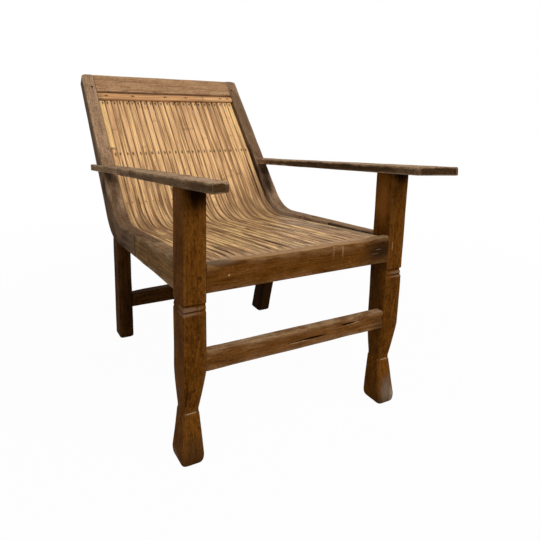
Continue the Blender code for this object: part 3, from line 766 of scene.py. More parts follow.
def leaning(points: Array) -> Array:
    """Let the old frame lean: the crest is a little higher on the sitter's right.

    The lift runs up the back. It changes evenly across the chair, and grows from nothing above the arms to
    its full size at the crest.

    Args:
        points: (count, 3).

    Returns:
        The lifted points.
    """
    share = ramp(points[:, 2], PLAN.lean_start, PLAN.crest_height)
    lift = share * (PLAN.lean_middle + PLAN.lean_across * points[:, 0])
    return points + lift[:, None] * np.array((0.0, *PLAN.back_up))


def finished_mesh(name: str, points: Array, faces: list[list[int]],
                  attributes: dict[str, Array]) -> Mesh:
    """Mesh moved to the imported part's place, with smooth shading and its attributes.

    Args:
        name: name of the mesh.
        points: (count, 3), laid out from the front legs' front face.
        faces: indices of each face's points.
        attributes: values for each point.

    Returns:
        The mesh.
    """
    mesh = bpy.data.meshes.new(name)
    mesh.from_pydata((leaning(points) + PLAN.shift).tolist(), [], faces)
    for key, values in attributes.items():
        wide = values.shape[-1] == 3 and values.ndim == 3
        layer = mesh.attributes.new(key, "FLOAT_VECTOR" if wide else "FLOAT", "POINT")
        flat = np.ascontiguousarray(values, np.float32).ravel()
        layer.data.foreach_set("vector" if wide else "value", flat)
    mesh.shade_smooth()
    mesh.set_sharp_from_angle(angle=SHARP_ANGLE)
    mesh.validate()
    return mesh


def add_piece(name: str, mesh: Mesh, material: Material, slot: Slot, *nodes: str) -> None:
    """Link a piece, ride it on the chair's body and let it stand for its nodes.

    Args:
        name: name of the piece.
        mesh: its mesh.
        material: its finish.
        slot: not used.
        nodes: nodes of the frame that it replaces.
    """
    mesh.materials.append(material)
    piece = bpy.data.objects.new(name, mesh)
    bpy.context.scene.collection.objects.link(piece)
    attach(piece, BODY)
    if nodes:
        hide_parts(*nodes)
    LOG.info("%s: %d faces, %s", name, len(mesh.polygons), material.name)


def add_timber(name: str, timber: Sweep, finish: Wood, slot: Slot, marks: Marks = (),
               offset: Triple = (0.0, 0.0, 0.0)) -> None:
    """Finish a swept timber with its own marks and let it stand for the node of its name.

    Args:
        name: name of the node.
        timber: its shape.
        finish: its wood.
        slot: passed on to add_piece, which does not use it.
        marks: marks on this timber.
        offset: added to its place in the wood, so that like timbers differ.
    """
    material = finish.material(f"{name}_wood", PlaceOnTimber(), marks)
    add_piece(f"{name}_worn", timber.mesh(name, offset), material, slot, name)


# The chair's plan


@dataclass(frozen=True)
class Plan:
    """Driving sizes that several assemblies share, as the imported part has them."""

    fit: float = 0.0003
    leg_spread: float = 0.580
    leg_width: float = 0.0493
    leg_depth: float = 0.0640
    frame_inset: float = 0.0063
    timber: float = 0.0382
    seat_front: float = 0.4489
    rail_drop: float = 0.0005
    rail_fall: float = 0.0848
    knee_y: float = 0.5952
    rail_knee_depth: float = 0.0523
    crest_height: float = 0.8195
    back_angle: float = math.radians(46.0)
    top_rail_height: float = 0.0700
    slat_height: float = 0.0070
    slat_recess: float = 0.0120
    rebate: float = 0.0210
    seat_fall: float = 0.111
    arm_height: float = 0.6088
    arm_fall: float = 0.1028
    arm_thickness: float = 0.0190
    lean_start: float = 0.660
    lean_middle: float = 0.0045
    lean_across: float = -0.0232
    shift: Array = field(default_factory=lambda: np.array((0.0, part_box("front_seat_rail")[0].y, 0.0)))

    @property
    def leg_inner(self) -> float:
        """Inner face of a front leg."""
        return self.leg_spread / 2 - self.leg_width

    @property
    def leg_centre(self) -> float:
        """Middle of a front leg."""
        return self.leg_spread / 2 - self.leg_width / 2

    @property
    def frame_outer(self) -> float:
        """Outer face of a side frame."""
        return self.leg_spread / 2 - self.frame_inset

    @property
    def frame_inner(self) -> float:
        """Inner face of a side frame."""
        return self.frame_outer - self.timber

    @property
    def knee(self) -> Array:
        """Sharp corner of the side frame's upper edge (y, z)."""
        return np.array((self.knee_y, self.rail_top(self.knee_y)))

    @property
    def crest(self) -> Array:
        """Top of the stile's front edge (y, z)."""
        rise = self.crest_height - self.knee[1]
        return np.array((self.knee_y + rise / math.tan(self.back_angle), self.crest_height))

    @property
    def back_length(self) -> float:
        """Length of the stile's front edge down to the sharp knee."""
        return float(np.linalg.norm(self.crest - self.knee))

    @property
    def back_in(self) -> Array:
        """Direction into the back, square to it (y, z)."""
        return np.array((math.sin(self.back_angle), -math.cos(self.back_angle)))

    @property
    def back_up(self) -> Array:
        """Direction up the back (y, z)."""
        return np.array((math.cos(self.back_angle), math.sin(self.back_angle)))

    @property
    def bearing(self) -> float:
        """Height of the slats' underside at the rebate."""
        return self.seat_front - self.slat_height - self.fit

    def rail_top(self, y: float) -> float:
        """Height of a side rail's upper edge."""
        return self.seat_front - self.rail_drop - self.rail_fall * y

    def back_point(self, depth: float, down: float) -> Array:
        """Place (y, z), measured behind the stile's front edge and down from the crest."""
        return self.crest + self.back_in * depth - self.back_up * down


PLAN = Plan()


# Finishes of this chair

WARM = Wood(body=(0.130, 0.045, 0.0046), dark=(0.045, 0.014, 0.002), pale=(0.20, 0.085, 0.022),
            wear=0.25, dust=0.75, roughness=0.52, dirt=0.65, streak=0.7)
RUSSET = Wood(body=(0.118, 0.040, 0.0040), dark=(0.055, 0.018, 0.002), pale=(0.30, 0.175, 0.085),
              wear=0.35, dust=0.7, roughness=0.50, dirt=0.25, streak=0.7, speckle=0.35)
STRETCHER = Wood(body=(0.150, 0.056, 0.0105), dark=(0.068, 0.024, 0.005), pale=(0.36, 0.245, 0.14),
                 wear=0.40, dust=0.9, roughness=0.52, dirt=0.25, speckle=0.30)
STILE = Wood(body=(0.312, 0.190, 0.110), dark=(0.120, 0.068, 0.036), pale=(0.46, 0.315, 0.20),
             wear=0.5, dust=0.45, roughness=0.62)
ARM = Wood(body=(0.270, 0.165, 0.090), dark=(0.085, 0.047, 0.022), pale=(0.50, 0.345, 0.22),
           wear=0.5, dust=0.85, roughness=0.60, sawn=(0.034, 0.015, 0.005))
RAIL = Wood(body=(0.400, 0.230, 0.121), dark=(0.165, 0.086, 0.040), pale=(0.48, 0.310, 0.18),
            wear=0.4, dust=0.3, roughness=0.58)
SIDE = Wood(body=(0.215, 0.110, 0.036), dark=(0.070, 0.034, 0.012), pale=(0.36, 0.26, 0.17),
            wear=0.5, dust=0.8, roughness=0.58, speckle=0.6)
# a darker copy of the hardwood: painted shade on the rear legs and their stretcher, dark end grain on the pegs
DARK = Wood(body=(0.066, 0.024, 0.0048), dark=(0.024, 0.009, 0.002), pale=(0.12, 0.054, 0.018),
            wear=0.25, dust=0.2, roughness=0.6)
ROUGH = Wood(body=(0.22, 0.13, 0.066), dark=(0.08, 0.043, 0.020), pale=(0.36, 0.25, 0.15),
             wear=0.3, dust=0.3, roughness=0.75)
SLATS = Bamboo()
COVER = Bamboo(gold=(0.62, 0.33, 0.145), tan=(0.50, 0.26, 0.115), straw=(0.74, 0.44, 0.20))
NAILS = Iron()


# Sub-assemblies


@dataclass
class FrontLegs:
    """Two square legs with a flared foot, a tapered ankle and a double groove in front and outside."""

    groove_top: float = 0.366
    groove_depth: float = 0.0045
    groove_side: float = 0.6
    groove_undercut: float = 0.0045
    groove_facet: float = 0.0105
    bead_lip: float = 0.0010
    bead_notch: float = 0.0020
    bead_depth: float = 0.0035
    bead_facet: float = 0.0060
    taper_top: float = 0.214
    waist_height: float = 0.1235
    waist_inset: float = 0.0088
    taper_lead: float = 0.68
    shoulder_height: float = 0.1125
    shoulder_ledge: float = 0.0011
    foot_width: float = 0.0495
    foot_depth: float = 0.0670
    foot_full_height: float = 0.022
    sole_inset: float = 0.0058
    sole_height: float = 0.018
    ankle_drift: float = -0.0060
    foot_drift: float = -0.0100
    foot_forward_left: float = 0.0160
    foot_forward_right: float = 0.0080
    outward_right: float = 0.0022
    outward_top: float = 0.50
    outward_full: float = 0.35
    outward_low: float = 0.20
    step: float = 0.006
    edge_radius: float = 0.0036
    slope_start: float = 0.55
    sole_stations: Numbers = (0.0, 0.0015, 0.0035, 0.006, 0.009)
    end_radius: float = 0.0012
    wear: float = 0.45
    wobble: float = 0.00025
    sway: float = 0.0003
    rounder_heights: Numbers = (0.0, 0.05, 0.12, 0.30, 0.36)
    rounder_by: Numbers = (0.0062, 0.0048, 0.0028, 0.0010, 0.0)
    rounder_bulge: float = 0.2
    mark_out: float = 0.045

    @property
    def groove_lines(self) -> Triple:
        """Heights of the upper groove's floor, of the lip under it and of the lower groove's floor."""
        floor = self.groove_top - self.groove_undercut
        return floor, floor - self.groove_facet, floor - self.groove_facet - self.bead_notch

    def heights(self) -> Array:
        """Stations up the leg: even steps, with every break of the outline among them.

        Returns:
            Heights from the sole to the arm.
        """
        floor, lip, bead = self.groove_lines
        breaks = (*self.sole_stations, self.sole_height, self.foot_full_height, self.shoulder_height,
                  self.shoulder_height + self.shoulder_ledge, self.waist_height, self.taper_top,
                  bead - self.bead_facet, bead, lip, floor, self.groove_top)
        top = PLAN.arm_height - PLAN.fit
        even = np.arange(self.step, top - self.step / 2, self.step)
        apart = np.abs(even[:, None] - np.array(breaks)).min(axis=1)
        return np.unique(np.concatenate((even[apart > self.step / 3], breaks, (top,))))

    def groove(self, z: Array) -> Array:
        """Depth of the double groove: straight facets between its floors and lips."""
        floor, lip, bead = self.groove_lines
        return np.interp(z, (bead - self.bead_facet, bead, lip, floor, self.groove_top),
                         (0.0, self.bead_depth, self.bead_lip, self.groove_depth, 0.0))

    def taper(self, z: Array) -> Array:
        """Inset of the ankle from the plain leg: a parabola down to the waist, then the shoulder's ledge.

        Args:
            z: heights.

        Returns:
            The inset at each height.
        """
        t = ramp(z, self.taper_top, self.waist_height)
        curve = self.waist_inset * (self.taper_lead * t + (1.0 - self.taper_lead) * t * t)
        ledge = ramp(z, self.shoulder_height + self.shoulder_ledge, self.shoulder_height)
        return curve - ledge * self.shoulder_ledge

    def build(self, side: Side) -> None:
        """Make one leg: its four faces are functions of the height.

        Args:
            side: side of the chair.
        """
        z = self.heights()
        seed = 40 + 7 * side.value
        flare = ramp(z, self.shoulder_height, self.foot_full_height)
        sole = rounding(z, self.sole_height) * (self.sole_inset / self.sole_height)
        uneven = self.wobble * ripple(z, seed, 0.4) - sole
        half_x = (PLAN.leg_width / 2 - self.taper(z)) * (1 - flare) + flare * self.foot_width / 2 + uneven
        half_y = (PLAN.leg_depth / 2 - self.taper(z)) * (1 - flare) + flare * self.foot_depth / 2 + uneven
        groove = self.groove(z)
        outer = half_x - groove * self.groove_side
        inner = half_x
        if side is Side.RIGHT:
            fade = ramp(z, self.outward_top, self.outward_full)
            outer = outer + self.outward_right * fade * np.clip(z / self.outward_low, 0.3, 1.0)
        low, high = (-inner, outer) if side is Side.LEFT else (-outer, inner)
        ankle = ramp(z, self.taper_top, self.waist_height)
        drift = self.ankle_drift * ankle + (self.foot_drift - self.ankle_drift) * flare
        forward = self.foot_forward_left if side is Side.LEFT else self.foot_forward_right
        x = side.value * PLAN.leg_centre + drift + self.sway * ripple(z, seed + 1, 0.5)
        y = PLAN.leg_depth / 2 - forward * flare
        rounder = np.interp(z, self.rounder_heights, self.rounder_by)
        radii = worn_radii(z, self.edge_radius, self.wear, seed + 2) + rounder[:, None]
        bulge = self.rounder_bulge * rounder
        low, high, half_y = low - bulge, high + bulge, half_y + bulge
        slope = ramp(z, self.slope_start, z[-1])
        depth = points_at(0.0, 1.0, -PLAN.arm_fall * slope)
        rise = z - PLAN.arm_fall * slope * y
        leg = Sweep(points_at(x, y, rise), (1, 0, 0), depth,
                    four_sides(low, high, groove - half_y, half_y), radii, ends=self.end_radius)
        add_timber(f"front_leg_{side.word}", leg, WARM, Slot.WARM, self.marks(side))

    def marks(self, side: Side) -> Marks:
        """Dust and painted highlights on the grooves, painted shade and shadow, painted light, scuffs, knots
        and dark marks of one leg, at their heights.

        Args:
            side: side of the chair.

        Returns:
            The marks.
        """
        front = -PLAN.leg_depth / 2
        floor, lip, bead = self.groove_lines
        out = side.value * self.mark_out
        upper_facet = (out, front, (floor + lip) / 2 - 0.0005)
        lower_facet = (out, front, bead - self.bead_facet / 2 - 0.0005)
        # dust with painted highlights on the grooves' facets
        dust = Mark(Kind.DUST, upper_facet, (0.0705, 0.048, 0.0058), 0.22)
        lower = Mark(Kind.DUST, lower_facet, (0.0705, 0.048, 0.0036), 0.22)
        # painted shade under the upper groove's top and in the notch below its lip
        shade = Mark(Kind.GRIME, (out, front, self.groove_top - 0.0012), (0.068, 0.048, 0.0024), 0.10)
        notch = Mark(Kind.GRIME, (out, front, (lip + bead) / 2), (0.068, 0.048, 0.0016), 0.10)
        # painted shade over the foot's front
        foot = Mark(Kind.SHADE, (0.0, front, 0.02), (0.060, 0.05, 0.075), 0.3, 60.0, 0.9)
        common = (foot, dust, lower, shade, notch)
        if side is Side.RIGHT:
            return (*common,
                    # painted shadow that the arm casts on the top of the leg
                    Mark(Kind.GLOOM, (0.016, front, 0.612), (0.060, 0.036, 0.078), 0.25, 40.0, 0.65),
                    Mark(Kind.SCUFF, (-0.004, front, 0.116), (0.020, 0.02, 0.0020), 0.35),
                    Mark(Kind.KNOT, (0.010, front, 0.4217), (0.0045, 0.02, 0.006), 0.5),
                    Mark(Kind.GRIME, (-0.016, front, 0.155), (0.0030, 0.02, 0.034), 0.3),
                    Mark(Kind.GRIME, (0.0, front, 0.1712), (0.0035, 0.02, 0.005)),
                    Mark(Kind.GREYED, (-0.030, 0.010, 0.012), (0.008, 0.020, 0.016), 0.6, 160.0, 0.8))
        return (*common,
                # painted shadow that the arm casts on the top of the leg
                Mark(Kind.GLOOM, (0.0, front, 0.612), (0.050, 0.034, 0.034), 0.25, 40.0, 0.75),
                # painted light on the inner face under the arm
                Mark(Kind.WARMED, (-0.0246, 0.0, 0.530), (0.012, 0.036, 0.075), 0.3, 60.0, 0.8),
                # painted shade round the middle of the leg
                Mark(Kind.SHADE, (0.0, 0.010, 0.30), (0.060, 0.036, 0.12), 0.3, 40.0, 0.7),
                Mark(Kind.SCUFF, (0.0, front, 0.1160), (0.018, 0.02, 0.0018), 0.35),
                Mark(Kind.KNOT, (-0.020, front, 0.479), (0.0030, 0.02, 0.006)),
                Mark(Kind.RUBBED, (-0.012, front, 0.4265), (0.0012, 0.02, 0.014), 0.5),
                Mark(Kind.GREYED, (0.006, -0.040, 0.030), (0.034, 0.026, 0.075), 0.35, 60.0, 0.95),
                Mark(Kind.SCUFF, (0.016, -0.044, 0.022), (0.014, 0.018, 0.034), 0.35, 100.0, 0.95))


@dataclass
class SideFrames:
    """Back stiles that turn through a knee into half-lapped seat rails."""

    rail_front_depth: float = 0.0691
    knee_radius: float = 0.160
    knee_radius_left: float = 0.145
    crest_round: float = 0.0100
    heel_radius: float = 0.140
    stile_top_depth: float = 0.0400
    stile_knee_depth: float = 0.0850
    lap_front: float = 0.272
    lap_rear: float = 0.395
    edge_radius: float = 0.0032
    counts: tuple[int, int, int] = (170, 50, 18)
    lap_stations: int = 14
    rail_stations: int = 40
    step_length: float = 0.0004
    stile_end: float = 0.0015
    rail_end: float = 0.0012
    wear: float = 0.5
    unevenness: float = 0.0003
    rail_offset: float = 2.3

    def lower(self, y: float) -> float:
        """Height of the rail's lower edge: a straight line from the leg to the knee.

        Args:
            y: distance behind the legs' front face.

        Returns:
            The height.
        """
        start = PLAN.leg_depth + PLAN.fit
        front = PLAN.rail_top(start) - self.rail_front_depth
        knee = PLAN.knee[1] - PLAN.rail_knee_depth
        return front + (knee - front) * (y - start) / (PLAN.knee_y - start)

    def heel(self) -> Array:
        """Find the sharp corner where the rail's lower edge would meet the stile's back edge.

        Returns:
            The corner (y, z).
        """
        top = PLAN.back_point(self.stile_top_depth, 0.0)
        down = PLAN.back_point(self.stile_knee_depth, PLAN.back_length) - top
        low = np.array((0.0, self.lower(0.0)))
        along = np.array((1.0, self.lower(1.0) - self.lower(0.0)))
        share = np.linalg.solve(np.stack((down, -along), axis=1), low - top)[0]
        return top + down * share

    def edges(self, side: Side) -> tuple[Array, Array]:
        """Lay out a stile from the crest to the rear end of the lap.

        Args:
            side: side of the chair.

        Returns:
            Its front edge and its back edge (y, z).
        """
        end = np.array((self.lap_rear, PLAN.rail_top(self.lap_rear)))
        radius = self.knee_radius_left if side is Side.LEFT else self.knee_radius
        front = bent_edge(PLAN.crest, PLAN.knee, end, radius, self.counts)
        end = np.array((self.lap_rear, self.lower(self.lap_rear)))
        top = PLAN.back_point(self.stile_top_depth, 0.0)
        back = bent_edge(top, self.heel(), end, self.heel_radius, self.counts)
        return front, back

    def underside(self, y: Array) -> Array:
        """Height of the knee's underside over places on the floor.

        Args:
            y: the places.

        Returns:
            The heights.
        """
        back = self.edges(Side.RIGHT)[1]
        order = np.argsort(back[:, 0])
        return np.interp(y, back[order, 0], back[order, 1])

    def lap_edges(self, start: float, stop: float, count: int) -> tuple[Array, Array]:
        """Lay out a straight stretch of rail.

        Args:
            start: y of its first station.
            stop: y of its last station.
            count: number of stations.

        Returns:
            Its upper edge and its lower edge (y, z).
        """
        y = np.linspace(start, stop, count)
        upper = np.stack((y, PLAN.rail_top(y)), axis=1)
        lower = np.stack((y, self.lower(y)), axis=1)
        return upper, lower

    def swept(self, upper: Array, lower: Array, low: Array, high: Array, seed: int, ends: float) -> Sweep:
        """Timber between two edge lines: its depth at a station is the distance from one to the other.

        Args:
            upper: front or upper edge (y, z).
            lower: back or lower edge (y, z).
            low: lower x at each station.
            high: higher x at each station.
            seed: seed of its wear.
            ends: rounding of its ends.

        Returns:
            The timber.
        """
        middle = (upper + lower) / 2
        facing = unit(upper - lower)
        along = distances(middle)
        uneven = self.unevenness * (ripple(along, seed, 0.4) - 1.0)
        half_depth = np.linalg.norm(upper - lower, axis=1) / 2 + uneven
        return Sweep(points_at((low + high) / 2, *middle.T), (1, 0, 0), points_at(0.0, *facing.T),
                     rectangle((high - low) / 2, half_depth),
                     worn_radii(along, self.edge_radius, self.wear, seed + 3), ends=ends)

    def build(self, side: Side) -> None:
        """Make a stile and its seat rail; the rail keeps the outer half of the lap.

        Args:
            side: side of the chair.
        """
        seed = 90 + 11 * side.value
        lap_middle = (PLAN.frame_inner + PLAN.frame_outer) / 2
        upper, lower = self.edges(side)
        rounded = PLAN.frame_outer - rounding(np.linalg.norm(upper - upper[0], axis=1), self.crest_round)
        lap = self.lap_edges(self.lap_rear - self.step_length, self.lap_front, self.lap_stations)
        upper, lower = map(np.concatenate, zip((upper, lower), lap))
        far = np.concatenate((rounded, np.full(self.lap_stations, lap_middle - PLAN.fit / 2)))
        low, high = np.sort(side.value * np.array(np.broadcast_arrays(PLAN.frame_inner, far)), axis=0)
        stile = self.swept(upper, lower, low, high, seed, self.stile_end)
        add_timber(f"back_stile_{side.word}", stile, STILE, Slot.GREY, self.stile_marks(side))
        start, stop = PLAN.leg_depth + PLAN.fit, self.lap_front - PLAN.fit
        upper, lower = self.lap_edges(start, stop, self.rail_stations)
        lap = self.lap_edges(stop + self.step_length, self.lap_rear - PLAN.fit, self.lap_stations)
        upper, lower = map(np.concatenate, zip((upper, lower), lap))
        near = np.repeat((PLAN.frame_inner, lap_middle + PLAN.fit / 2),
                         (self.rail_stations, self.lap_stations))
        low, high = np.sort(side.value * np.array(np.broadcast_arrays(near, PLAN.frame_outer)), axis=0)
        rail = self.swept(upper, lower, low, high, seed + 1, self.rail_end)
        add_timber(f"seat_rail_{side.word}", rail, SIDE, Slot.WARM, self.rail_marks(side),
                   (0.0, 0.0, self.rail_offset))

    def rail_marks(self, side: Side) -> Marks:
        """Seams of the lap, painted shade on the inner face beside the slats, a darker end by the leg, and the
        rubbed top of the rail on the sitter's left.

        Args:
            side: side of the chair.

        Returns:
            The marks.
        """
        front = self.rail_offset
        rear_lap, front_lap = (front + y - PLAN.leg_depth - PLAN.fit for y in (self.lap_rear, self.lap_front))
        out = side.value * PLAN.timber / 2
        within = side.value * -0.0200
        rear_seam = Mark(Kind.CRACK, (0.0, 0.0, rear_lap), (0.1, 0.1, 0.0034), 0.2)
        front_seam = Mark(Kind.CRACK, (out, 0.0, front_lap), (0.006, 0.1, 0.0020), 0.5)
        # painted shade on the inner face, beside the slats
        inner = Mark(Kind.GRIME, (within, 0.01, front + 0.15), (0.0045, 0.06, 0.30), 0.3, 30.0, 0.4)
        by_leg = Mark(Kind.GRIME, (0.0, 0.0, front), (0.1, 0.1, 0.014), 0.4, 60.0, 0.8)
        top = Mark(Kind.RUBBED, (0.004, 0.036, front + 0.15), (0.024, 0.014, 0.40), 0.3, 60.0, 0.5)
        common = (rear_seam, front_seam, inner, by_leg)
        return (*common, top) if side is Side.LEFT else common

    def stile_marks(self, side: Side) -> Marks:
        """Painted shadow under the arm's notch, and painted shade, painted light and rubbed faces above and
        below it.

        Args:
            side: side of the chair.

        Returns:
            The marks.
        """
        # painted shadow cast by the arm under its notch
        notch = Mark(Kind.GLOOM, (0.0, 0.0, 0.430), (0.05, 0.10, 0.046), 0.4, 40.0, 0.8)
        # painted shade round the knee
        bend = Mark(Kind.SHADE, (0.0, 0.0, 0.80), (0.10, 0.20, 0.44), 0.4, 30.0, 0.25)
        edge = Mark(Kind.GRIME, (side.value * 0.02, -0.05, 0.62), (0.012, 0.06, 0.30), 0.8, 40.0, 0.8)
        if side is Side.LEFT:
            # deeper painted shadow under the arm
            deeper = Mark(Kind.GLOOM, (-0.006, 0.0, 0.470), (0.026, 0.10, 0.075), 0.3, 40.0, 0.9)
            # painted shade on the inner face beside the slats
            inner = Mark(Kind.GRIME, (-0.0205, -0.010, 0.40), (0.008, 0.10, 0.16), 0.3, 30.0, 0.6)
            # painted shade over the upper stile
            crest = Mark(Kind.SHADE, (0.0, 0.0, 0.22), (0.10, 0.20, 0.30), 0.4, 30.0, 0.5)
            # painted light: a scuff colour lightens the inner face at the knee
            turn = Mark(Kind.SCUFF, (-0.0205, 0.02, 0.66), (0.010, 0.06, 0.13), 0.3, 30.0, 0.7)
            # painted shade on the inner face beside the slats
            under = Mark(Kind.GRIME, (-0.0200, 0.01, 0.97), (0.0045, 0.06, 0.19), 0.3, 30.0, 0.4)
            top = Mark(Kind.RUBBED, (0.004, 0.034, 0.95), (0.024, 0.014, 0.26), 0.3, 60.0, 0.5)
            return (notch, deeper, inner, crest, turn, under, top)
        # painted shade on the outer face
        outer = Mark(Kind.SHADE, (-0.0191, -0.006, 0.20), (0.010, 0.030, 0.34), 0.4, 30.0, 0.5)
        return (notch, bend, edge, outer)


@dataclass
class Arms:
    """Sloping arm boards with a slanted front, notched round the stiles."""

    front_width: float = 0.0631
    rear_width: float = 0.0372
    side_overhang: float = 0.0047
    waisting: float = 0.0041
    outer_reach: float = 0.1520
    inner_reach: float = 0.0850
    inner_reach_right: float = 0.1400
    front_width_right: float = 0.0420
    narrow_to: float = 0.2400
    tongue_thickness: float = 0.0155
    tongue_lead: float = 0.0700
    tongue_swell: float = 0.0400
    tongue_past: float = 0.0250
    edge_radius: float = 0.0030
    inner_round: float = 0.0090
    outer_round: float = 0.0025
    board_stations: int = 120
    tongue_stations: int = 16
    crowding: float = 1.6
    notch_step: float = 0.0005
    wear: float = 0.4
    unevenness: float = 0.0003
    most_round: float = 0.6
    end_radius: float = 0.0022
    end_inset: float = 0.0020

    def meets(self, depth_top: float, depth_low: float, rise: float) -> float:
        """Distance along the arm at which a line of the stile crosses the arm's plane.

        Args:
            depth_top: depth of that line behind the stile's front edge, at the crest.
            depth_low: the same at the knee.
            rise: height of the plane above the arm's underside.

        Returns:
            The distance from the legs' front face, in the arm's own plane.
        """
        slope = math.atan(PLAN.arm_fall)
        start = np.array((0.0, PLAN.arm_height)) + rise * np.array((math.sin(slope), math.cos(slope)))
        along = np.array((math.cos(slope), -math.sin(slope)))
        top = PLAN.back_point(depth_top, 0.0)
        down = PLAN.back_point(depth_low, PLAN.back_length) - top
        return float(np.linalg.solve(np.stack((along, -down), axis=1), top - start)[0])

    def build(self, side: Side, frames: SideFrames) -> None:
        """Make one arm between its outer and its inner edge, both functions of the distance along it.

        Args:
            side: side of the chair.
            frames: side frames, whose stile the arm is notched round.
        """
        notch = self.meets(0.0, 0.0, PLAN.arm_thickness)
        stile_front = self.meets(0.0, 0.0, 0.0)
        stile_back = self.meets(frames.stile_top_depth, frames.stile_knee_depth, 0.0)
        kink = stile_front - self.tongue_lead
        outer_front = PLAN.leg_spread / 2 + self.side_overhang
        outer_rear = outer_front - self.waisting
        tongue = PLAN.frame_outer + PLAN.fit
        share = np.linspace(0.0, 1.0, self.board_stations) ** self.crowding
        past = np.linspace(notch + self.notch_step, stile_back + self.tongue_past, self.tongue_stations)
        outer_y = np.concatenate((-self.outer_reach + (notch + self.outer_reach) * share, past))
        reach = self.inner_reach if side is Side.LEFT else self.inner_reach_right
        inner_y = np.concatenate((-reach + (notch + reach) * share, past))
        outer_x = np.interp(outer_y, (-self.outer_reach, kink, kink + self.tongue_swell),
                            (outer_front, outer_rear, tongue + self.tongue_thickness))
        inner_x = np.interp(inner_y, (-self.inner_reach, (stile_front + stile_back) / 2),
                            (outer_front - self.front_width, outer_rear - self.rear_width))
        if side is Side.RIGHT:
            narrow = ramp(inner_y, self.narrow_to, -reach)
            inner_x = inner_x + narrow * (self.front_width - self.front_width_right)
        inner_x[self.board_stations:] = tongue
        slope = math.atan(PLAN.arm_fall)
        along = np.array((0.0, math.cos(slope), -math.sin(slope)))
        up = np.array((0.0, math.sin(slope), math.cos(slope)))
        base = np.array((0.0, 0.0, PLAN.arm_height)) + up * PLAN.arm_thickness / 2
        across = np.array((1.0, 0.0, 0.0))
        mirror = np.array((side.value, 1.0, 1.0))
        outer = (base + outer_y[:, None] * along + outer_x[:, None] * across) * mirror
        inner = (base + inner_y[:, None] * along + inner_x[:, None] * across) * mirror
        seed = 150 + 13 * side.value
        half = np.linalg.norm(outer - inner, axis=1) / 2
        thick = PLAN.arm_thickness / 2 + self.unevenness * ripple(outer_y, seed, 0.3)
        radii = worn_radii(outer_y, self.edge_radius, self.wear, seed + 1)
        radii = np.minimum(radii, half[:, None] * self.most_round)
        low = rounding(inner_y - inner_y[0], self.inner_round) - half
        high = half - rounding(outer_y - outer_y[0], self.outer_round)
        board = Sweep((outer + inner) / 2, unit(outer - inner), up, four_sides(low, high, -thick, thick),
                      radii, ends=self.end_radius, cap_inset=self.end_inset)
        add_timber(f"arm_{side.word}", board, ARM, Slot.GREY, self.marks(side))

    def marks(self, side: Side) -> Marks:
        """Painted shade on the sides of an arm, by their place between its top and its underside.

        Args:
            side: side of the chair.

        Returns:
            The marks.
        """
        if side is Side.LEFT:
            # painted shade on the arm's sides
            return (Mark(Kind.GRIME, (0.0, -0.001, 0.42), (1.0, 0.0100, 0.44), 0.3, 60.0, 0.4),
                    Mark(Kind.SHADE, (0.0, -0.001, 0.05), (1.0, 0.0095, 0.30), 0.4, 60.0, 0.5))
        # painted shade on the arm's sides
        return (Mark(Kind.SHADE, (0.0, -0.002, 0.10), (1.0, 0.0105, 0.60), 0.3, 60.0, 0.4),
                Mark(Kind.SHADE, (0.0, -0.002, 0.0), (1.0, 0.0105, 0.22), 0.3, 60.0, 0.8))


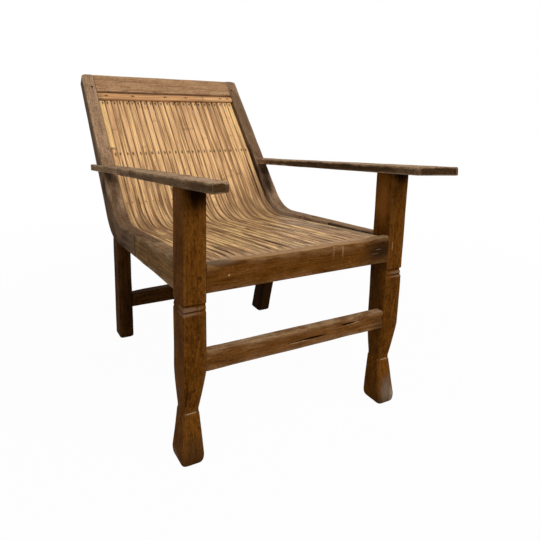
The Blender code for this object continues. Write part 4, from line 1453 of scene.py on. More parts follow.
@dataclass
class CrossRails:
    """Front seat rail, front stretcher and top rail."""

    seat_rail_height: float = 0.0632
    seat_rail_depth: float = 0.0450
    stretcher_bottom: float = 0.2115
    stretcher_height: float = 0.0425
    stretcher_depth: float = 0.0240
    stretcher_setback: float = 0.0015
    top_rail_depth: float = 0.0300
    nub_start: float = 0.178
    nub_length: float = 0.030
    nub_rise: float = 0.0062
    edge_radius: float = 0.0042
    stretcher_edge: float = 0.0026
    stretcher_sag: float = 0.0028
    stretcher_unevenness: float = 0.0005
    rail_radii: Numbers = (0.0022, 0.0030, 0.0010, 0.0004, 0.0030, 0.0070)
    rail_wear: float = 0.0018
    top_rail_offset: Triple = (0.1, 0.2, 0.9)
    end_radius: float = 0.0012
    wear: float = 0.4
    stations: int = 110

    def build(self) -> None:
        """Make the three rails."""
        self.seat_rail()
        self.stretcher()
        self.top_rail()

    def straight(self, reach: float, y: float, z: float) -> Array:
        """Stations from the sitter's right to the left along a line at (y, z)."""
        return points_at(np.linspace(-reach, reach, self.stations), y, z)

    def seat_rail(self) -> None:
        """Front rail: a box with the slats' rebate cut out of its upper back corner."""
        path = self.straight(PLAN.leg_inner - PLAN.fit, 0.0, PLAN.seat_front)
        x = path[:, 0]
        low = -self.seat_rail_height
        deep = self.seat_rail_depth
        step = PLAN.bearing - PLAN.seat_front
        fall = PLAN.seat_fall * (deep - PLAN.rebate)
        worn = np.minimum(self.rail_wear * (ripple(x, 31, 0.3) - 0.6), 0.0)
        t = ramp(x, self.nub_start, self.nub_start + self.nub_length)
        nub = self.nub_rise * t * t * (3.0 - 2.0 * t)
        corners = section_of(((0.0, low), (deep, low), (deep, step - fall), (PLAN.rebate, step),
                              (PLAN.rebate, worn + 0.6 * nub), (0.0, 1.4 * worn + nub)))
        radii = np.tile(self.rail_radii, (self.stations, 1))
        radii[:, 5] *= 1.0 + 0.35 * ripple(x, 33, 0.2)
        rail = Sweep(path, (0, 1, 0), (0, 0, 1), corners, radii, ends=self.end_radius)
        add_timber("front_seat_rail", rail, RUSSET, Slot.WARM, self.rail_marks())

    def rail_marks(self) -> Marks:
        """Rubbed top, knots, specks and painted shade at the ends of the front rail, measured from the
        sitter's right.

        Returns:
            The marks.
        """
        half = PLAN.leg_inner
        return (
            Mark(Kind.RUBBED, (0.013, 0.004, half), (0.0165, 0.0095, 0.70), 0.28, 90.0, 0.25),
            Mark(Kind.GREYED, (0.008, 0.0, 0.022), (0.016, 0.009, 0.055), 0.5, 60.0, 0.6),
            # painted shade near the end on the sitter's right
            Mark(Kind.SHADE, (0.004, 0.0, 0.030), (0.012, 0.014, 0.060), 0.5, 60.0, 0.6),
            # painted shade at the end on the sitter's left
            Mark(Kind.SHADE, (0.0, -0.026, 2 * half), (0.05, 0.070, 0.110), 0.4, 40.0, 0.8),
            Mark(Kind.GRIME, (0.0, -0.030, 2 * half - 0.030), (0.02, 0.034, 0.060), 0.5, 60.0, 0.8),
            Mark(Kind.GREYED, (0.0, -0.026, half + 0.2075), (0.02, 0.0014, 0.013), 0.5, 160.0, 0.8),
            Mark(Kind.GREYED, (0.0, -0.036, half + 0.196), (0.02, 0.0014, 0.015), 0.5, 160.0, 0.8),
            Mark(Kind.KNOT, (0.0, -0.010, half + 0.2217), (0.02, 0.004, 0.006)),
            Mark(Kind.SCUFF, (0.0, -0.0307, half - 0.1914), (0.02, 0.0026, 0.0022), 0.3),
            Mark(Kind.RUBBED, (0.0, -0.012, half + 0.1007), (0.02, 0.021, 0.0013), 1.1, 420.0),
            Mark(Kind.RUBBED, (0.0, -0.014, half + 0.0749), (0.02, 0.020, 0.0010), 1.2, 420.0),
        )

    def stretcher(self) -> None:
        """Front stretcher: a plain bar with worn edges and long drying cracks."""
        y = self.stretcher_setback + self.stretcher_depth / 2
        z = self.stretcher_bottom + self.stretcher_height / 2
        path = self.straight(PLAN.leg_inner - PLAN.fit, y, z)
        x = path[:, 0]
        half = self.stretcher_height / 2 + self.stretcher_unevenness * ripple(x, 51, 0.3)
        deep = self.stretcher_depth / 2
        bar = Sweep(path, (0, 1, 0), (0, 0, 1), four_sides(-deep, deep, -half - self.stretcher_sag, half),
                    worn_radii(x, self.stretcher_edge, self.wear, 53), ends=self.end_radius)
        add_timber("front_stretcher", bar, STRETCHER, Slot.WARM, self.stretcher_marks())

    def stretcher_marks(self) -> Marks:
        """Drying cracks with rubbed lips and a shaded end, measured from the sitter's right.

        Returns:
            The marks.
        """
        front = -self.stretcher_depth / 2
        half = PLAN.leg_inner
        return (
            Mark(Kind.RUBBED, (front, -0.0062, half - 0.010), (0.02, 0.0024, 0.034), 0.5),
            Mark(Kind.CRACK, (front, -0.0042, half + 0.026), (0.02, 0.0030, 0.044), 0.22),
            Mark(Kind.CRACK, (front, -0.0050, half - 0.018), (0.02, 0.0013, 0.030), 0.22),
            Mark(Kind.RUBBED, (front, 0.0085, half + 0.140), (0.02, 0.0024, 0.026), 0.5),
            Mark(Kind.CRACK, (front, 0.0100, half + 0.128), (0.02, 0.0030, 0.026), 0.22),
            Mark(Kind.CRACK, (front, 0.0035, half + 0.2376), (0.02, 0.0070, 0.0016), 0.6),
            Mark(Kind.SHADE, (front, -0.012, half + 0.225), (0.02, 0.020, 0.035), 0.5, 60.0, 0.9),
        )

    def top_rail(self) -> None:
        """Top rail, square to the back."""
        y, z = PLAN.back_point(self.top_rail_depth / 2, PLAN.top_rail_height / 2)
        path = self.straight(PLAN.frame_inner - PLAN.fit, y, z)
        rail = Sweep(path, (0.0, *PLAN.back_in), (0.0, *PLAN.back_up),
                     rectangle(self.top_rail_depth / 2, PLAN.top_rail_height / 2),
                     worn_radii(path[:, 0], self.edge_radius, self.wear, 61), ends=self.end_radius)
        add_timber("top_rail", rail, RAIL, Slot.GREY, offset=self.top_rail_offset)


@dataclass
class RearLegs:
    """Raked rear legs under the knees, with their stretcher."""

    width: float = 0.0375
    foot_width: float = 0.0435
    depth: float = 0.0620
    behind_knee: float = 0.0110
    rake: float = 0.0910
    foot_left: float = 0.2550
    foot_right: float = 0.2430
    edge_radius: float = 0.0085
    foot_round: float = 0.0070
    stretcher_bottom: float = 0.1160
    stretcher_height: float = 0.0380
    stretcher_depth: float = 0.0320
    stretcher_setback: float = 0.0040
    stretcher_arch: float = 0.0045
    stretcher_lower: float = 0.0012
    stretcher_edge: float = 0.0032
    stretcher_wear: float = 0.35
    stretcher_end: float = 0.0006
    foot_inset: float = 0.6
    end_radius: float = 0.0020
    wear: float = 0.25
    level_up_to: float = 0.6
    grain_offset: float = 0.5
    stations: int = 60
    foot_stations: int = 6

    @property
    def top_y(self) -> float:
        """Middle of the legs' tops, behind the front legs' front face."""
        return PLAN.knee_y + self.behind_knee

    @property
    def top_z(self) -> float:
        """Height inside the side frame at which the legs' middle lines end."""
        return PLAN.knee[1] - PLAN.rail_knee_depth / 2

    def middle(self, side: Side, z: Array) -> tuple[Array, Array]:
        """Middle of a leg at heights: a straight line from its foot to the side frame.

        Args:
            side: side of the chair.
            z: heights.

        Returns:
            x and y at each height.
        """
        foot_x = self.foot_left if side is Side.LEFT else self.foot_right
        frame_centre = (PLAN.frame_inner + PLAN.frame_outer) / 2
        share = z / self.top_z
        return side.value * (foot_x + (frame_centre - foot_x) * share), self.top_y + self.rake * (1.0 - share)

    def half_width(self, z: Array) -> Array:
        """Half the width of a leg at heights: it narrows evenly up to the side frame."""
        return (self.foot_width + (self.width - self.foot_width) * z / self.top_z) / 2

    def build(self, side: Side, frames: SideFrames) -> None:
        """Make one leg; its top follows the knee's curved underside.

        Args:
            side: side of the chair.
            frames: side frames, whose knee it stands under.
        """
        top = float(frames.underside(np.array((self.top_y,)))[0]) - PLAN.fit
        ends = np.array((self.top_y - self.depth / 2, self.top_y + self.depth / 2))
        tilt = np.diff(frames.underside(ends))[0] / self.depth
        low = self.foot_round * np.linspace(0.0, 1.0, self.foot_stations) ** 2
        z = np.concatenate((low, np.linspace(self.foot_round, top, self.stations)[1:]))
        level = self.level_up_to * top
        depth = points_at(0.0, 1.0, ramp(z, level, top) * tilt)
        foot = rounding(z, self.foot_round) * self.foot_inset
        leg = Sweep(points_at(*self.middle(side, z), z), (1, 0, 0), depth,
                    rectangle(self.half_width(z) - foot, self.depth / 2 - foot),
                    worn_radii(z, self.edge_radius, self.wear, 70 + side.value), ends=self.end_radius)
        add_timber(f"rear_leg_{side.word}", leg, DARK, Slot.DARK, self.marks(side),
                   (0.0, 0.0, self.grain_offset * side.value))

    def marks(self, side: Side) -> Marks:
        """Painted shade on the front and inner face of the leg on the sitter's left.

        Args:
            side: side of the chair.

        Returns:
            The marks.
        """
        # painted shade: the faces that lie in the chair's shade
        front = Mark(Kind.GRIME, (0.0, -self.depth / 2, 0.0), (1.0, 0.020, 2.0), 0.2)
        inner = Mark(Kind.GRIME, (-self.foot_width / 2, 0.0, 0.0), (0.010, 1.0, 2.0), 0.2)
        return (front, inner) if side is Side.LEFT else ()

    def stretcher(self) -> None:
        """Bar between the rear legs' inner faces, arched by 1 - t^4 along its upper edge."""
        z = np.array(self.stretcher_bottom + self.stretcher_height / 2)
        right, y = self.middle(Side.RIGHT, z)
        left = self.middle(Side.LEFT, z)[0]
        gap = float(self.half_width(z)) + PLAN.fit
        x = np.linspace(right + gap, left - gap, self.stations)
        y_middle = y - self.depth / 2 + self.stretcher_setback + self.stretcher_depth / 2
        half = self.stretcher_depth / 2
        low = -self.stretcher_height / 2 - self.stretcher_lower
        arch = self.stretcher_arch * (1.0 - np.linspace(-1.0, 1.0, len(x)) ** 4)
        bar = Sweep(points_at(x, y_middle, z), (0, 1, 0), (0, 0, 1), four_sides(-half, half, low, arch - low),
                    worn_radii(x, self.stretcher_edge, self.stretcher_wear, 75), ends=self.stretcher_end)
        add_timber("rear_stretcher", bar, DARK, Slot.DARK)


@dataclass
class BambooSeat:
    """Split bamboo slats, unbroken from the top rail to the seat's front, with cover batten and nails."""

    count: int = 24
    gap: float = 0.0003
    base_gap: float = 0.00003
    wall: float = 0.0045
    crown: float = 0.0025
    flat: float = 0.45
    lanes: Numbers = (0.74, 0.40, 0.06, -0.30, -0.66)
    seam: float = 0.0009
    edge_gap: float = 0.0012
    bend: float = 0.180
    nail_rows: tuple[float, float, float] = (0.1105, 0.3230, 0.5100)
    last_low_nail: int = 15
    nail_radius: float = 0.0019
    nail_rise: float = 0.0009
    nail_sides: int = 8
    nail_falls: Numbers = (0.45, 1.05, 1.57)
    nail_skirt: float = 0.0015
    cover_gap: float = 0.0040
    cover_width: float = 0.0285
    cover_depth: float = 0.0090
    cover_nails: Numbers = (-0.2175, -0.1285, -0.0139, 0.0631, 0.1977, 0.2268)
    cover_ring: float = 0.1288
    cover_taper: float = 0.0020
    cover_radii: Numbers = (0.001, 0.001, 0.003, 0.004, 0.004, 0.003)
    cover_end: float = 0.0010
    cover_offset: float = 4.0
    cover_stations: int = 120
    first_ring: float = 0.2290
    ring_step: float = 0.31
    ring_width: float = 0.0040
    swell_width: float = 0.012
    worn_skin: tuple[int, int] = (5, 13)
    worn_place: float = 0.240
    clear_rings: tuple[tuple[int, float], ...] = ((13, 0.154), (17, 0.375), (20, 0.354))
    slits: tuple[tuple[int, float, float, float], ...] = (
        (10, 0.117, 0.067, 0.0020), (22, 0.707, 0.057, 0.0022), (3, 0.125, 0.055, 0.0013))
    tip_length: tuple[float, float] = (0.040, 0.085)
    tip_taper: tuple[float, float] = (0.0004, 0.0032)
    thinning: float = 0.0012
    rough_thinning: float = 0.0022
    rough_at: Numbers = (0.0, 0.15, 0.25, 0.42, 0.50, 0.58, 0.66, 1.0)
    rough_share: Numbers = (0.0, 0.10, 0.55, 0.60, 0.35, 0.60, 1.0, 1.0)
    used_at: Numbers = (0.0, 0.30, 0.40, 0.50, 0.60, 0.75, 1.0)
    used_share: Numbers = (0.0, 0.05, 0.60, 1.0, 0.95, 0.78, 0.72)
    rub_start: float = 0.030
    rub_full: float = 0.012
    sway: float = 0.0004
    drop: float = 0.0012
    twist: float = 0.0009
    fibre_rise: float = 0.00028
    fibre_step: float = 0.00025
    under_radii: Numbers = (0.0001, 0.0004, 0.0004, 0.0001)
    rim_radius: float = 0.0013
    lane_radius: float = 0.0006
    slat_end: float = 0.0008
    nail_aside: float = 0.003
    nail_along: float = 0.0035
    counts: tuple[int, int, int] = (110, 60, 90)

    def path(self) -> Array:
        """Lay out the line that the slats bear on, from under the top rail to the rebate.

        Returns:
            Points (y, z).
        """
        depth = PLAN.slat_recess + PLAN.slat_height + PLAN.fit
        top = PLAN.back_point(depth, PLAN.top_rail_height + PLAN.fit)
        down = PLAN.back_point(depth, PLAN.back_length) - top
        front = np.array((PLAN.rebate + PLAN.fit, PLAN.bearing - PLAN.seat_fall * PLAN.fit))
        back = np.array((1.0, -PLAN.seat_fall))
        share = np.linalg.solve(np.stack((down, -back), axis=1), front - top)[0]
        return bent_edge(top, top + down * share, front, self.bend, self.counts)

    def build(self) -> None:
        """Make the slats, each with its own width, sway, rings and colour."""
        path = self.path()
        along = distances(path)
        down_rows = np.array(self.nail_rows) - PLAN.top_rail_height - PLAN.fit
        material = SLATS.material("slat_bamboo", tuple(down_rows[:2]))
        draw = np.random.default_rng(2024)
        heads = [self.slat(index, path, along, draw, material, down_rows) for index in range(self.count)]
        nailed = (("upper", self.count), ("middle", self.count), ("lower", self.last_low_nail))
        for row, (word, slats) in enumerate(nailed):
            self.nails(f"slat_nails_{word}", np.stack([slat_heads[row] for slat_heads in heads[:slats]]))
        self.cover()

    def rings(self, index: int, along: Array, draw: np.random.Generator) -> tuple[Array, Array]:
        """The bamboo's own joints on one slat, about a third of a metre apart.

        Args:
            index: number of the slat.
            along: distance along the slat.
            draw: generator of its irregularities.

        Returns:
            Darkness of the joints and their swelling, at each station.
        """
        joints = draw.uniform(0.02, 0.30) + np.arange(5) * draw.uniform(0.27, 0.36)
        strength = draw.uniform(0.0, 0.55, 5)
        for slat, place in self.clear_rings:
            if slat == index:
                joints = place + np.arange(-1, 4) * self.ring_step
                strength[1] = 1.0
        if index == 0:
            joints = self.first_ring + np.arange(5) * self.ring_step
            strength[0] = 1.3
        away = along[:, None] - joints
        dark = np.exp(-(away / self.ring_width) ** 2) * strength
        return dark.max(axis=1), np.exp(-(away / self.swell_width) ** 2).max(axis=1)

    def brightness(self, index: int, path: Array, along: Array, draw: np.random.Generator) -> Array:
        """Share of clean yellow skin at each station of a slat.

        The first slat is yellow above its first joint, and a few are rubbed bright in the seat's middle.

        Args:
            index: number of the slat.
            path: line that it bears on.
            along: distance along that line.
            draw: generator of its irregularities.

        Returns:
            The share at each station.
        """
        place = self.worn_place + draw.uniform(-0.07, 0.07)
        rubbed = np.exp(-((path[:, 0] - place) / draw.uniform(0.020, 0.070)) ** 2) * (along > 0.6 * along[-1])
        low, high = self.worn_skin
        share = 0.95 * rubbed * (low <= index <= high) + 0.25 * draw.uniform(0.0, 1.0) ** 3
        if index == 0:
            share = share + 1.60 * ramp(along, self.first_ring, self.first_ring - 0.004)
        if index >= self.count - 2:
            share = share + 0.45 * ramp(along, 0.30, 0.10)
        return share

    def slits_beside(self, index: int, path: Array) -> tuple[Array, Array, Array]:
        """Slits on both sides of a slat: exp(-(d / reach)^4) round the middle of each.

        Args:
            index: number of the slat.
            path: line that it bears on.

        Returns:
            How open those at its left and at its right are, and how much thinner they leave the slat.
        """
        left, right, width = np.zeros((3, len(path)))
        for slat, place, reach, widest in self.slits:
            opened = np.exp(-((path[:, 0] - place) / reach) ** 4)
            left += opened * (index == slat)
            right += opened * (index == slat + 1)
            width += widest * opened * (index in (slat, slat + 1))
        return left, right, width

    def slat(self, index: int, path: Array, along: Array, draw: np.random.Generator,
             material: Material, rows: Array) -> Array:
        """Make one slat.

        The section is a crowned strip. Its width follows the pitch, which narrows towards the front legs, and
        its rings are swellings exp(-(d / width)^2) at the bamboo's own joints.

        Args:
            index: number of the slat from the sitter's right.
            path: line that it bears on.
            along: distance along that line.
            draw: generator of its own irregularities.
            material: finish.
            rows: distances of the nail rows.

        Returns:
            For each nail row, the place of the head and the direction that it faces: (rows, 2, 3).
        """
        count = len(path)
        zero = np.zeros(count)
        share = along / along[-1]
        back_pitch = 2 * (PLAN.frame_inner - self.edge_gap) / self.count
        front_pitch = 2 * (PLAN.leg_inner - self.edge_gap) / self.count
        pitch = back_pitch + (front_pitch - back_pitch) * share
        seed = 500 + 17 * index
        left_slit, right_slit, slit_width = self.slits_beside(index, path)
        rough = np.interp(share, self.rough_at, self.rough_share)
        rubbed = ramp(along, along[-1] - self.rub_start, along[-1] - self.rub_full)
        ring, swell = self.rings(index, along, draw)
        tone = draw.uniform(0.0, 1.0)
        bright = self.brightness(index, path, along, draw)
        tip = ramp(along, draw.uniform(*self.tip_length), 0.0) * draw.uniform(*self.tip_taper)
        narrow = np.clip(ripple(along, seed, 0.5) + draw.uniform(-0.8, 0.5), 0.0, 1.2)
        ragged = np.clip(ripple(along, seed + 5, 0.4) + draw.uniform(-1.0, 0.6), 0.0, 1.3)
        thin = self.thinning * narrow - 0.0002 * swell + slit_width + self.rough_thinning * rough * ragged
        base = (pitch - self.base_gap) / 2 - tip
        half = (pitch - self.gap) / 2 - thin * (1.0 - rubbed) - tip
        aside = self.sway * ripple(along, seed + 1, 0.6)
        lift = self.sway * ripple(along, seed + 2, 0.4) - draw.uniform(0.0, self.drop) + 0.0005 * swell
        tilt = draw.uniform(-self.twist, self.twist) + self.sway * ripple(along, seed + 3, 0.7)
        tangent = unit(np.gradient(path, axis=0))
        normal = np.stack((tangent[:, 1], -tangent[:, 0]), axis=1)
        origin = points_at(pitch * (index - (self.count - 1) / 2), *(path + normal * PLAN.fit).T)
        depth = points_at(0.0, *normal.T)
        wall = self.wall * 0.75 + lift
        crown = self.wall + self.crown + lift
        outline = [(-base, self.seam), (-0.8 * base, 0.0), (0.8 * base, 0.0), (base, self.seam),
                   (aside + half, wall - tilt)]
        # painted shade in the slits beside the slat; the lanes' own painted shade follows
        dark = [right_slit, zero, zero, left_slit, left_slit]
        gleam = [zero] * len(outline)
        for lane, u in enumerate(self.lanes):
            fall = ramp(abs(u), self.flat, 1.0) ** 1.5
            uneven = self.fibre_rise * ripple(along, seed + 30 + lane, 0.45)
            uneven = uneven + draw.uniform(-self.fibre_step, self.fibre_step)
            outline.append((aside + u * half, crown - (crown - wall) * fall - tilt * u + uneven))
            # painted shade and painted highlights that run along this lane
            low, high = draw.uniform((-1.3, -1.4), (0.1, 0.0))
            shadow = (1.5 + rough) * ripple(along, seed + 40 + lane, 0.8) + low + 0.15 * rough
            shine = (1.6 + rough) * ripple(along, seed + 60 + lane, 0.7) + high + 0.30 * rough
            dark.append(np.clip(shadow, 0.0, 1.0))
            gleam.append(np.clip(shine, 0.0, 1.0))
        outline.append((aside - half, wall + tilt))
        dark.append(right_slit)
        gleam.append(zero)
        lane_radii = (self.lane_radius,) * len(self.lanes)
        radii = (*self.under_radii, self.rim_radius, *lane_radii, self.rim_radius)
        strip = Sweep(origin, (1, 0, 0), depth, section_of(outline), radii, ends=self.slat_end, arc=2,
                      shares=(), cap_inset=self.slat_end)
        nail_at = draw.uniform(-self.nail_aside, self.nail_aside)
        used = np.interp(share, self.used_at, self.used_share)
        extra = {"tone": np.full(count, tone), "ring": ring, "nail_at": np.full(count, nail_at),
                 "bright": bright, "used": used, "rough": rough * (1.0 - rubbed), "rubbed": rubbed}
        name = f"slat_{index + 1:02d}"
        mesh = strip.mesh(name, extra=extra)
        fresh = 1.0 - rubbed[:, None]
        self.mark_skin(mesh, strip, np.stack(dark, axis=1) * fresh, np.stack(gleam, axis=1) * fresh)
        add_piece(f"{name}_bamboo", mesh, material, Slot.BAMBOO, name)
        rows = rows + draw.uniform(-self.nail_along, self.nail_along, len(rows))
        nearest = np.abs(along[:, None] - rows).argmin(axis=0)
        head = origin[nearest] + np.array((nail_at, 0.0, 0.0)) + depth[nearest] * crown[nearest, None]
        return np.stack((head, depth[nearest]), axis=1)

    def mark_skin(self, mesh: Mesh, strip: Sweep, dark: Array, gleam: Array) -> None:
        """Store a strip's skin, its edges, its painted shade in the slits and along the lanes, and its painted
        highlights along the lanes.

        Args:
            mesh: the strip's mesh.
            strip: its sweep.
            dark: painted shade at each station and corner.
            gleam: painted highlights at each station and corner.
        """
        section = strip.with_ends().section()[0]
        top = section[..., 1].max(axis=1, keepdims=True)
        half = section[..., 0].max(axis=1, keepdims=True)
        skin = np.clip(section[..., 1] / top * 1.8 - 0.5, 0.0, 1.0)
        edge = ramp(np.abs(section[..., 0]) / half, 0.80, 0.92)
        line, shine = (np.repeat(fibres[strip.end_index()], strip.arc + len(strip.shares), axis=1)
                       for fibres in (dark, gleam))
        for key, values in (("skin", skin), ("line", line), ("gleam", shine)):
            layer = mesh.attributes.new(key, "FLOAT", "POINT")
            layer.data.foreach_set("value", values.astype(np.float32).ravel())
        mesh.attributes["edge"].data.foreach_set("value", edge.astype(np.float32).ravel())

    def nails(self, name: str, heads: Array) -> None:
        """Make a row of domed nail heads: radius r sin(a) round the nail, height h cos(a) off the slat.

        Args:
            name: name of the piece.
            heads: (nails, 2, 3), each head's place and the direction that it faces.
        """
        turns = np.linspace(0.0, 2 * np.pi, self.nail_sides, endpoint=False)
        falls = np.array(self.nail_falls)
        facing = unit(heads[:, 1])
        side = unit(np.cross(facing, np.array((1.0, 0.0, 0.0))))
        other = np.cross(facing, side)
        circle = side[:, None] * np.cos(turns)[:, None] + other[:, None] * np.sin(turns)[:, None]
        out = (np.sin(falls) * self.nail_radius)[None, :, None, None]
        up = (np.cos(falls) * self.nail_rise)[None, :, None, None]
        rings = heads[:, 0][:, None, None] + circle[:, None] * out + facing[:, None, None] * up
        skirt = rings[:, -1:] - facing[:, None, None] * self.nail_skirt
        rings = np.concatenate((rings, skirt), axis=1)
        points = rings.reshape(-1, 3)
        per = rings.shape[1] * rings.shape[2]
        index = np.arange(per).reshape(rings.shape[1], rings.shape[2])
        following = np.roll(index, -1, axis=1)
        quads = np.stack((index[:-1], index[1:], following[1:], following[:-1]), axis=-1).reshape(-1, 4)
        starts = (np.arange(len(heads)) * per)[:, None, None]
        faces = (quads[None] + starts).reshape(-1, 4).tolist()
        faces += (index[0][None] + starts[:, 0]).tolist()
        faces += (index[-1][::-1][None] + starts[:, 0]).tolist()
        mesh = finished_mesh(name, points, faces, {})
        add_piece(name, mesh, NAILS.material(f"{name}_iron"), Slot.DARK)

    def cover(self) -> None:
        """Make the bamboo batten that is nailed over the slats' upper ends, and its nails."""
        reach = PLAN.frame_inner - PLAN.fit
        stations = self.cover_stations
        x = np.linspace(-reach, reach, stations)
        zero = np.zeros(stations)
        middle = PLAN.top_rail_height + self.cover_gap + self.cover_width / 2
        y, z = PLAN.back_point(PLAN.slat_recess - PLAN.fit, middle)
        swell = np.exp(-((x - self.cover_ring) / self.swell_width) ** 2)
        narrow = self.cover_taper * ramp(x, 0.0, reach)
        half = self.cover_width / 2 + 0.0004 * (ripple(x, 81, 0.3) - 1.0) - narrow
        deep = self.cover_depth * (1.0 + 0.04 * swell)
        flat, shoulder = 0.75 * half, 0.55 * deep
        outline = ((-half, 0.0), (half, 0.0), (half, shoulder), (flat, deep), (-flat, deep),
                   (-half, shoulder))
        facing = np.array((0.0, *-PLAN.back_in))
        strip = Sweep(points_at(x, y, z), (0.0, *PLAN.back_up), facing, section_of(outline), self.cover_radii,
                      ends=self.cover_end, arc=3, shares=(0.5,), cap_inset=self.cover_end)
        ring = np.exp(-((x - self.cover_ring) / 0.0035) ** 2)
        grey = ramp(x, -0.225, -0.235)
        extra = {"tone": np.full(stations, 0.35), "ring": ring, "nail_at": zero,
                 "bright": 0.30 * (x > self.cover_ring), "used": grey, "rough": zero, "rubbed": zero}
        mesh = strip.mesh("back_cover_batten", (0.0, 0.0, self.cover_offset), extra)
        plain = np.zeros((stations, len(outline)))
        self.mark_skin(mesh, strip, plain, plain)
        places = np.array(self.cover_nails)
        material = COVER.material("cover_bamboo", tuple(self.cover_offset + reach + places))
        add_piece("back_cover_bamboo", mesh, material, Slot.BAMBOO, "back_cover_batten")
        heads = points_at(places, y, z) + facing * self.cover_depth
        self.nails("cover_nails", np.stack((heads, np.broadcast_to(facing, heads.shape)), axis=1))


@dataclass
class HiddenTimber:
    """Battens and pegs, which keep the frame's own solids."""

    battens: tuple[str, ...] = ("back_batten_upper", "back_batten_middle", "back_batten_lower",
                                "seat_batten_front", "seat_batten_rear")
    pegs: tuple[str, ...] = ("top_rail_peg_left", "top_rail_peg_right")

    def dress(self) -> None:
        """Give the battens a sawn finish with the grain along x, and the pegs dark end grain."""
        along_x = PlaceInBox((0.0, -math.pi / 2, 0.0))
        rough = ROUGH.material("batten_wood", along_x)
        along_peg = PlaceInBox((PLAN.back_angle, 0.0, 0.0))
        dark = DARK.material("peg_wood", along_peg)
        for names, material in ((self.battens, rough), (self.pegs, dark)):
            for name in names:
                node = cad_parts[name]
                node.data.materials.clear()
                node.data.materials.append(material)
                LOG.info("%s: the frame's own solid, %s", name, material.name)


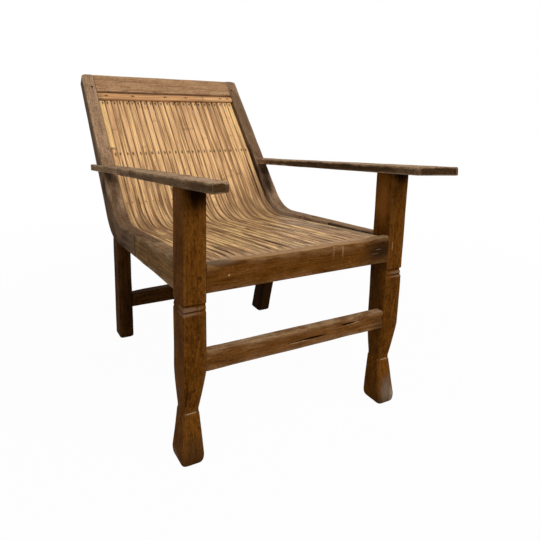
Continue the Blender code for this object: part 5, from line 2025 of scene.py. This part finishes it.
@dataclass
class Studio:
    """Pale floor, soft light and the photograph's camera."""

    camera_place: Triple = (-0.6432, -0.9872, 0.8043)
    yaw: float = 0.5382
    pitch: float = 0.2175
    roll: float = 0.0311
    focal_pixels: float = 545.03
    centre_pixel: tuple[float, float] = (287.71, 207.73)
    sensor: float = 36.0
    floor_reach: float = 9.0
    floor_drop: float = 0.0006
    floor_grey: float = 0.40
    floor_white: float = 0.975
    floor_change: float = 0.02
    floor_fade: tuple[float, float] = (0.6, 2.4)
    ambient: float = 0.34
    aim_height: float = 0.45

    def build(self) -> None:
        """Make the floor, the world, the lamps and the camera."""
        self.floor()
        self.world()
        self.lamp("key_light", (0.8, -2.4, 2.9), 2.0, 112.0, (1.0, 0.97, 0.93))
        self.lamp("fill_light", (-2.6, -1.4, 1.6), 2.4, 26.0, (1.0, 0.98, 0.95))
        self.lamp("back_light", (0.6, 3.2, 1.0), 2.4, 45.0, (1.0, 0.98, 0.95))
        self.camera()
        bpy.context.scene.view_settings.view_transform = "Standard"

    def floor(self) -> None:
        """Pale floor: a flat sheet that looks white to the camera and still takes the chair's shadow."""
        side = np.linspace(-self.floor_reach, self.floor_reach, 3)
        x, y = np.meshgrid(side, side, indexing="ij")
        points = points_at(x, y, -self.floor_drop).reshape(-1, 3)
        index = np.arange(len(points)).reshape(x.shape)
        quads = np.stack((index[:-1, :-1], index[1:, :-1], index[1:, 1:], index[:-1, 1:]), axis=-1)
        mesh = bpy.data.meshes.new("floor")
        mesh.from_pydata(points.tolist(), [], quads.reshape(-1, 4).tolist())
        paint = bpy.data.materials.new("floor_paint")
        paint.use_nodes = True
        g = Graph(paint.node_tree)
        g.tree.nodes.clear()
        place = g.node("TexCoord", output="Object")
        grain = g.noise(place, 3.0)
        low = (self.floor_grey - self.floor_change,) * 3
        high = (self.floor_grey + self.floor_change,) * 3
        matt = g.node("BsdfDiffuse", None, {"Color": g.mix(grain, low, high)})
        glow = g.node("Emission", None, {"Color": (1.0, 1.0, 1.0), "Strength": 1.0})
        white = g.length(place).rise(*self.floor_fade) * (1.0 - self.floor_white) + self.floor_white
        both = g.node("MixShader", None, {0: self.seen(g) * white, 1: matt, 2: glow})
        g.node("OutputMaterial", None, {"Surface": both}, None)
        mesh.materials.append(paint)
        floor = bpy.data.objects.new("floor", mesh)
        bpy.context.scene.collection.objects.link(floor)

    def seen(self, g: Graph) -> Value:
        """1 for the rays of the camera, of gloss and of glass.

        Args:
            g: graph that gets the nodes.

        Returns:
            The switch.
        """
        rays = [g.node("LightPath", output=f"Is {kind} Ray")
                for kind in ("Camera", "Glossy", "Transmission")]
        return rays[0].most(rays[1]).most(rays[2])

    def world(self) -> None:
        """White surroundings to the camera, and a softer grey light on the chair."""
        world = bpy.data.worlds.new("surroundings")
        bpy.context.scene.world = world
        world.use_nodes = True
        g = Graph(world.node_tree)
        background = g.tree.nodes["Background"]
        background.inputs["Color"].default_value = (1.0, 1.0, 1.0, 1.0)
        g.feed(background.inputs["Strength"], self.seen(g) * (1.0 - self.ambient) + self.ambient)

    def lamp(self, name: str, place: Triple, size: float, watts: float, colour: Colour) -> None:
        """Square soft light aimed at the chair's middle.

        Args:
            name: name of the lamp.
            place: where it hangs.
            size: length of its sides.
            watts: power.
            colour: colour of the light.
        """
        data = bpy.data.lights.new(name, "AREA")
        data.shape = "SQUARE"
        data.size = size
        data.energy = watts
        data.color = colour
        lamp = bpy.data.objects.new(name, data)
        lamp.location = place
        aim = Vector((0.0, 0.0, self.aim_height)) - Vector(place)
        lamp.rotation_euler = aim.to_track_quat("-Z", "Y").to_euler()
        bpy.context.scene.collection.objects.link(lamp)

    def camera(self) -> None:
        """Camera fitted to the photograph: place, three turns, focal length and shift."""
        data = bpy.data.cameras.new("camera")
        data.sensor_width = self.sensor
        data.lens = self.focal_pixels * self.sensor / PICTURE_SIDE
        data.shift_x = (PICTURE_SIDE / 2 - self.centre_pixel[0]) / PICTURE_SIDE
        data.shift_y = (self.centre_pixel[1] - PICTURE_SIDE / 2) / PICTURE_SIDE
        camera = bpy.data.objects.new("camera", data)
        level = Vector((math.cos(self.yaw), -math.sin(self.yaw), 0.0))
        ahead = Vector((math.sin(self.yaw), math.cos(self.yaw), 0.0))
        forward = ahead * math.cos(self.pitch) - Vector((0.0, 0.0, math.sin(self.pitch)))
        upright = level.cross(forward)
        right = level * math.cos(self.roll) + upright * math.sin(self.roll)
        up = upright * math.cos(self.roll) - level * math.sin(self.roll)
        turned = Matrix((right, up, -forward)).transposed().to_4x4()
        place = Vector(self.camera_place) + Vector(PLAN.shift.tolist())
        camera.matrix_world = Matrix.Translation(place) @ turned
        bpy.context.scene.collection.objects.link(camera)
        bpy.context.scene.camera = camera


def main() -> None:
    """Build the chair from the floor up, then the studio round it."""
    logging.basicConfig(level=logging.INFO, format="%(name)s: %(message)s")
    legs = FrontLegs()
    frames = SideFrames()
    arms = Arms()
    rear = RearLegs()
    for side in Side:
        legs.build(side)
        frames.build(side)
        arms.build(side, frames)
        rear.build(side, frames)
    CrossRails().build()
    rear.stretcher()
    BambooSeat().build()
    HiddenTimber().dress()
    Studio().build()


if __name__ == "__main__":
    main()
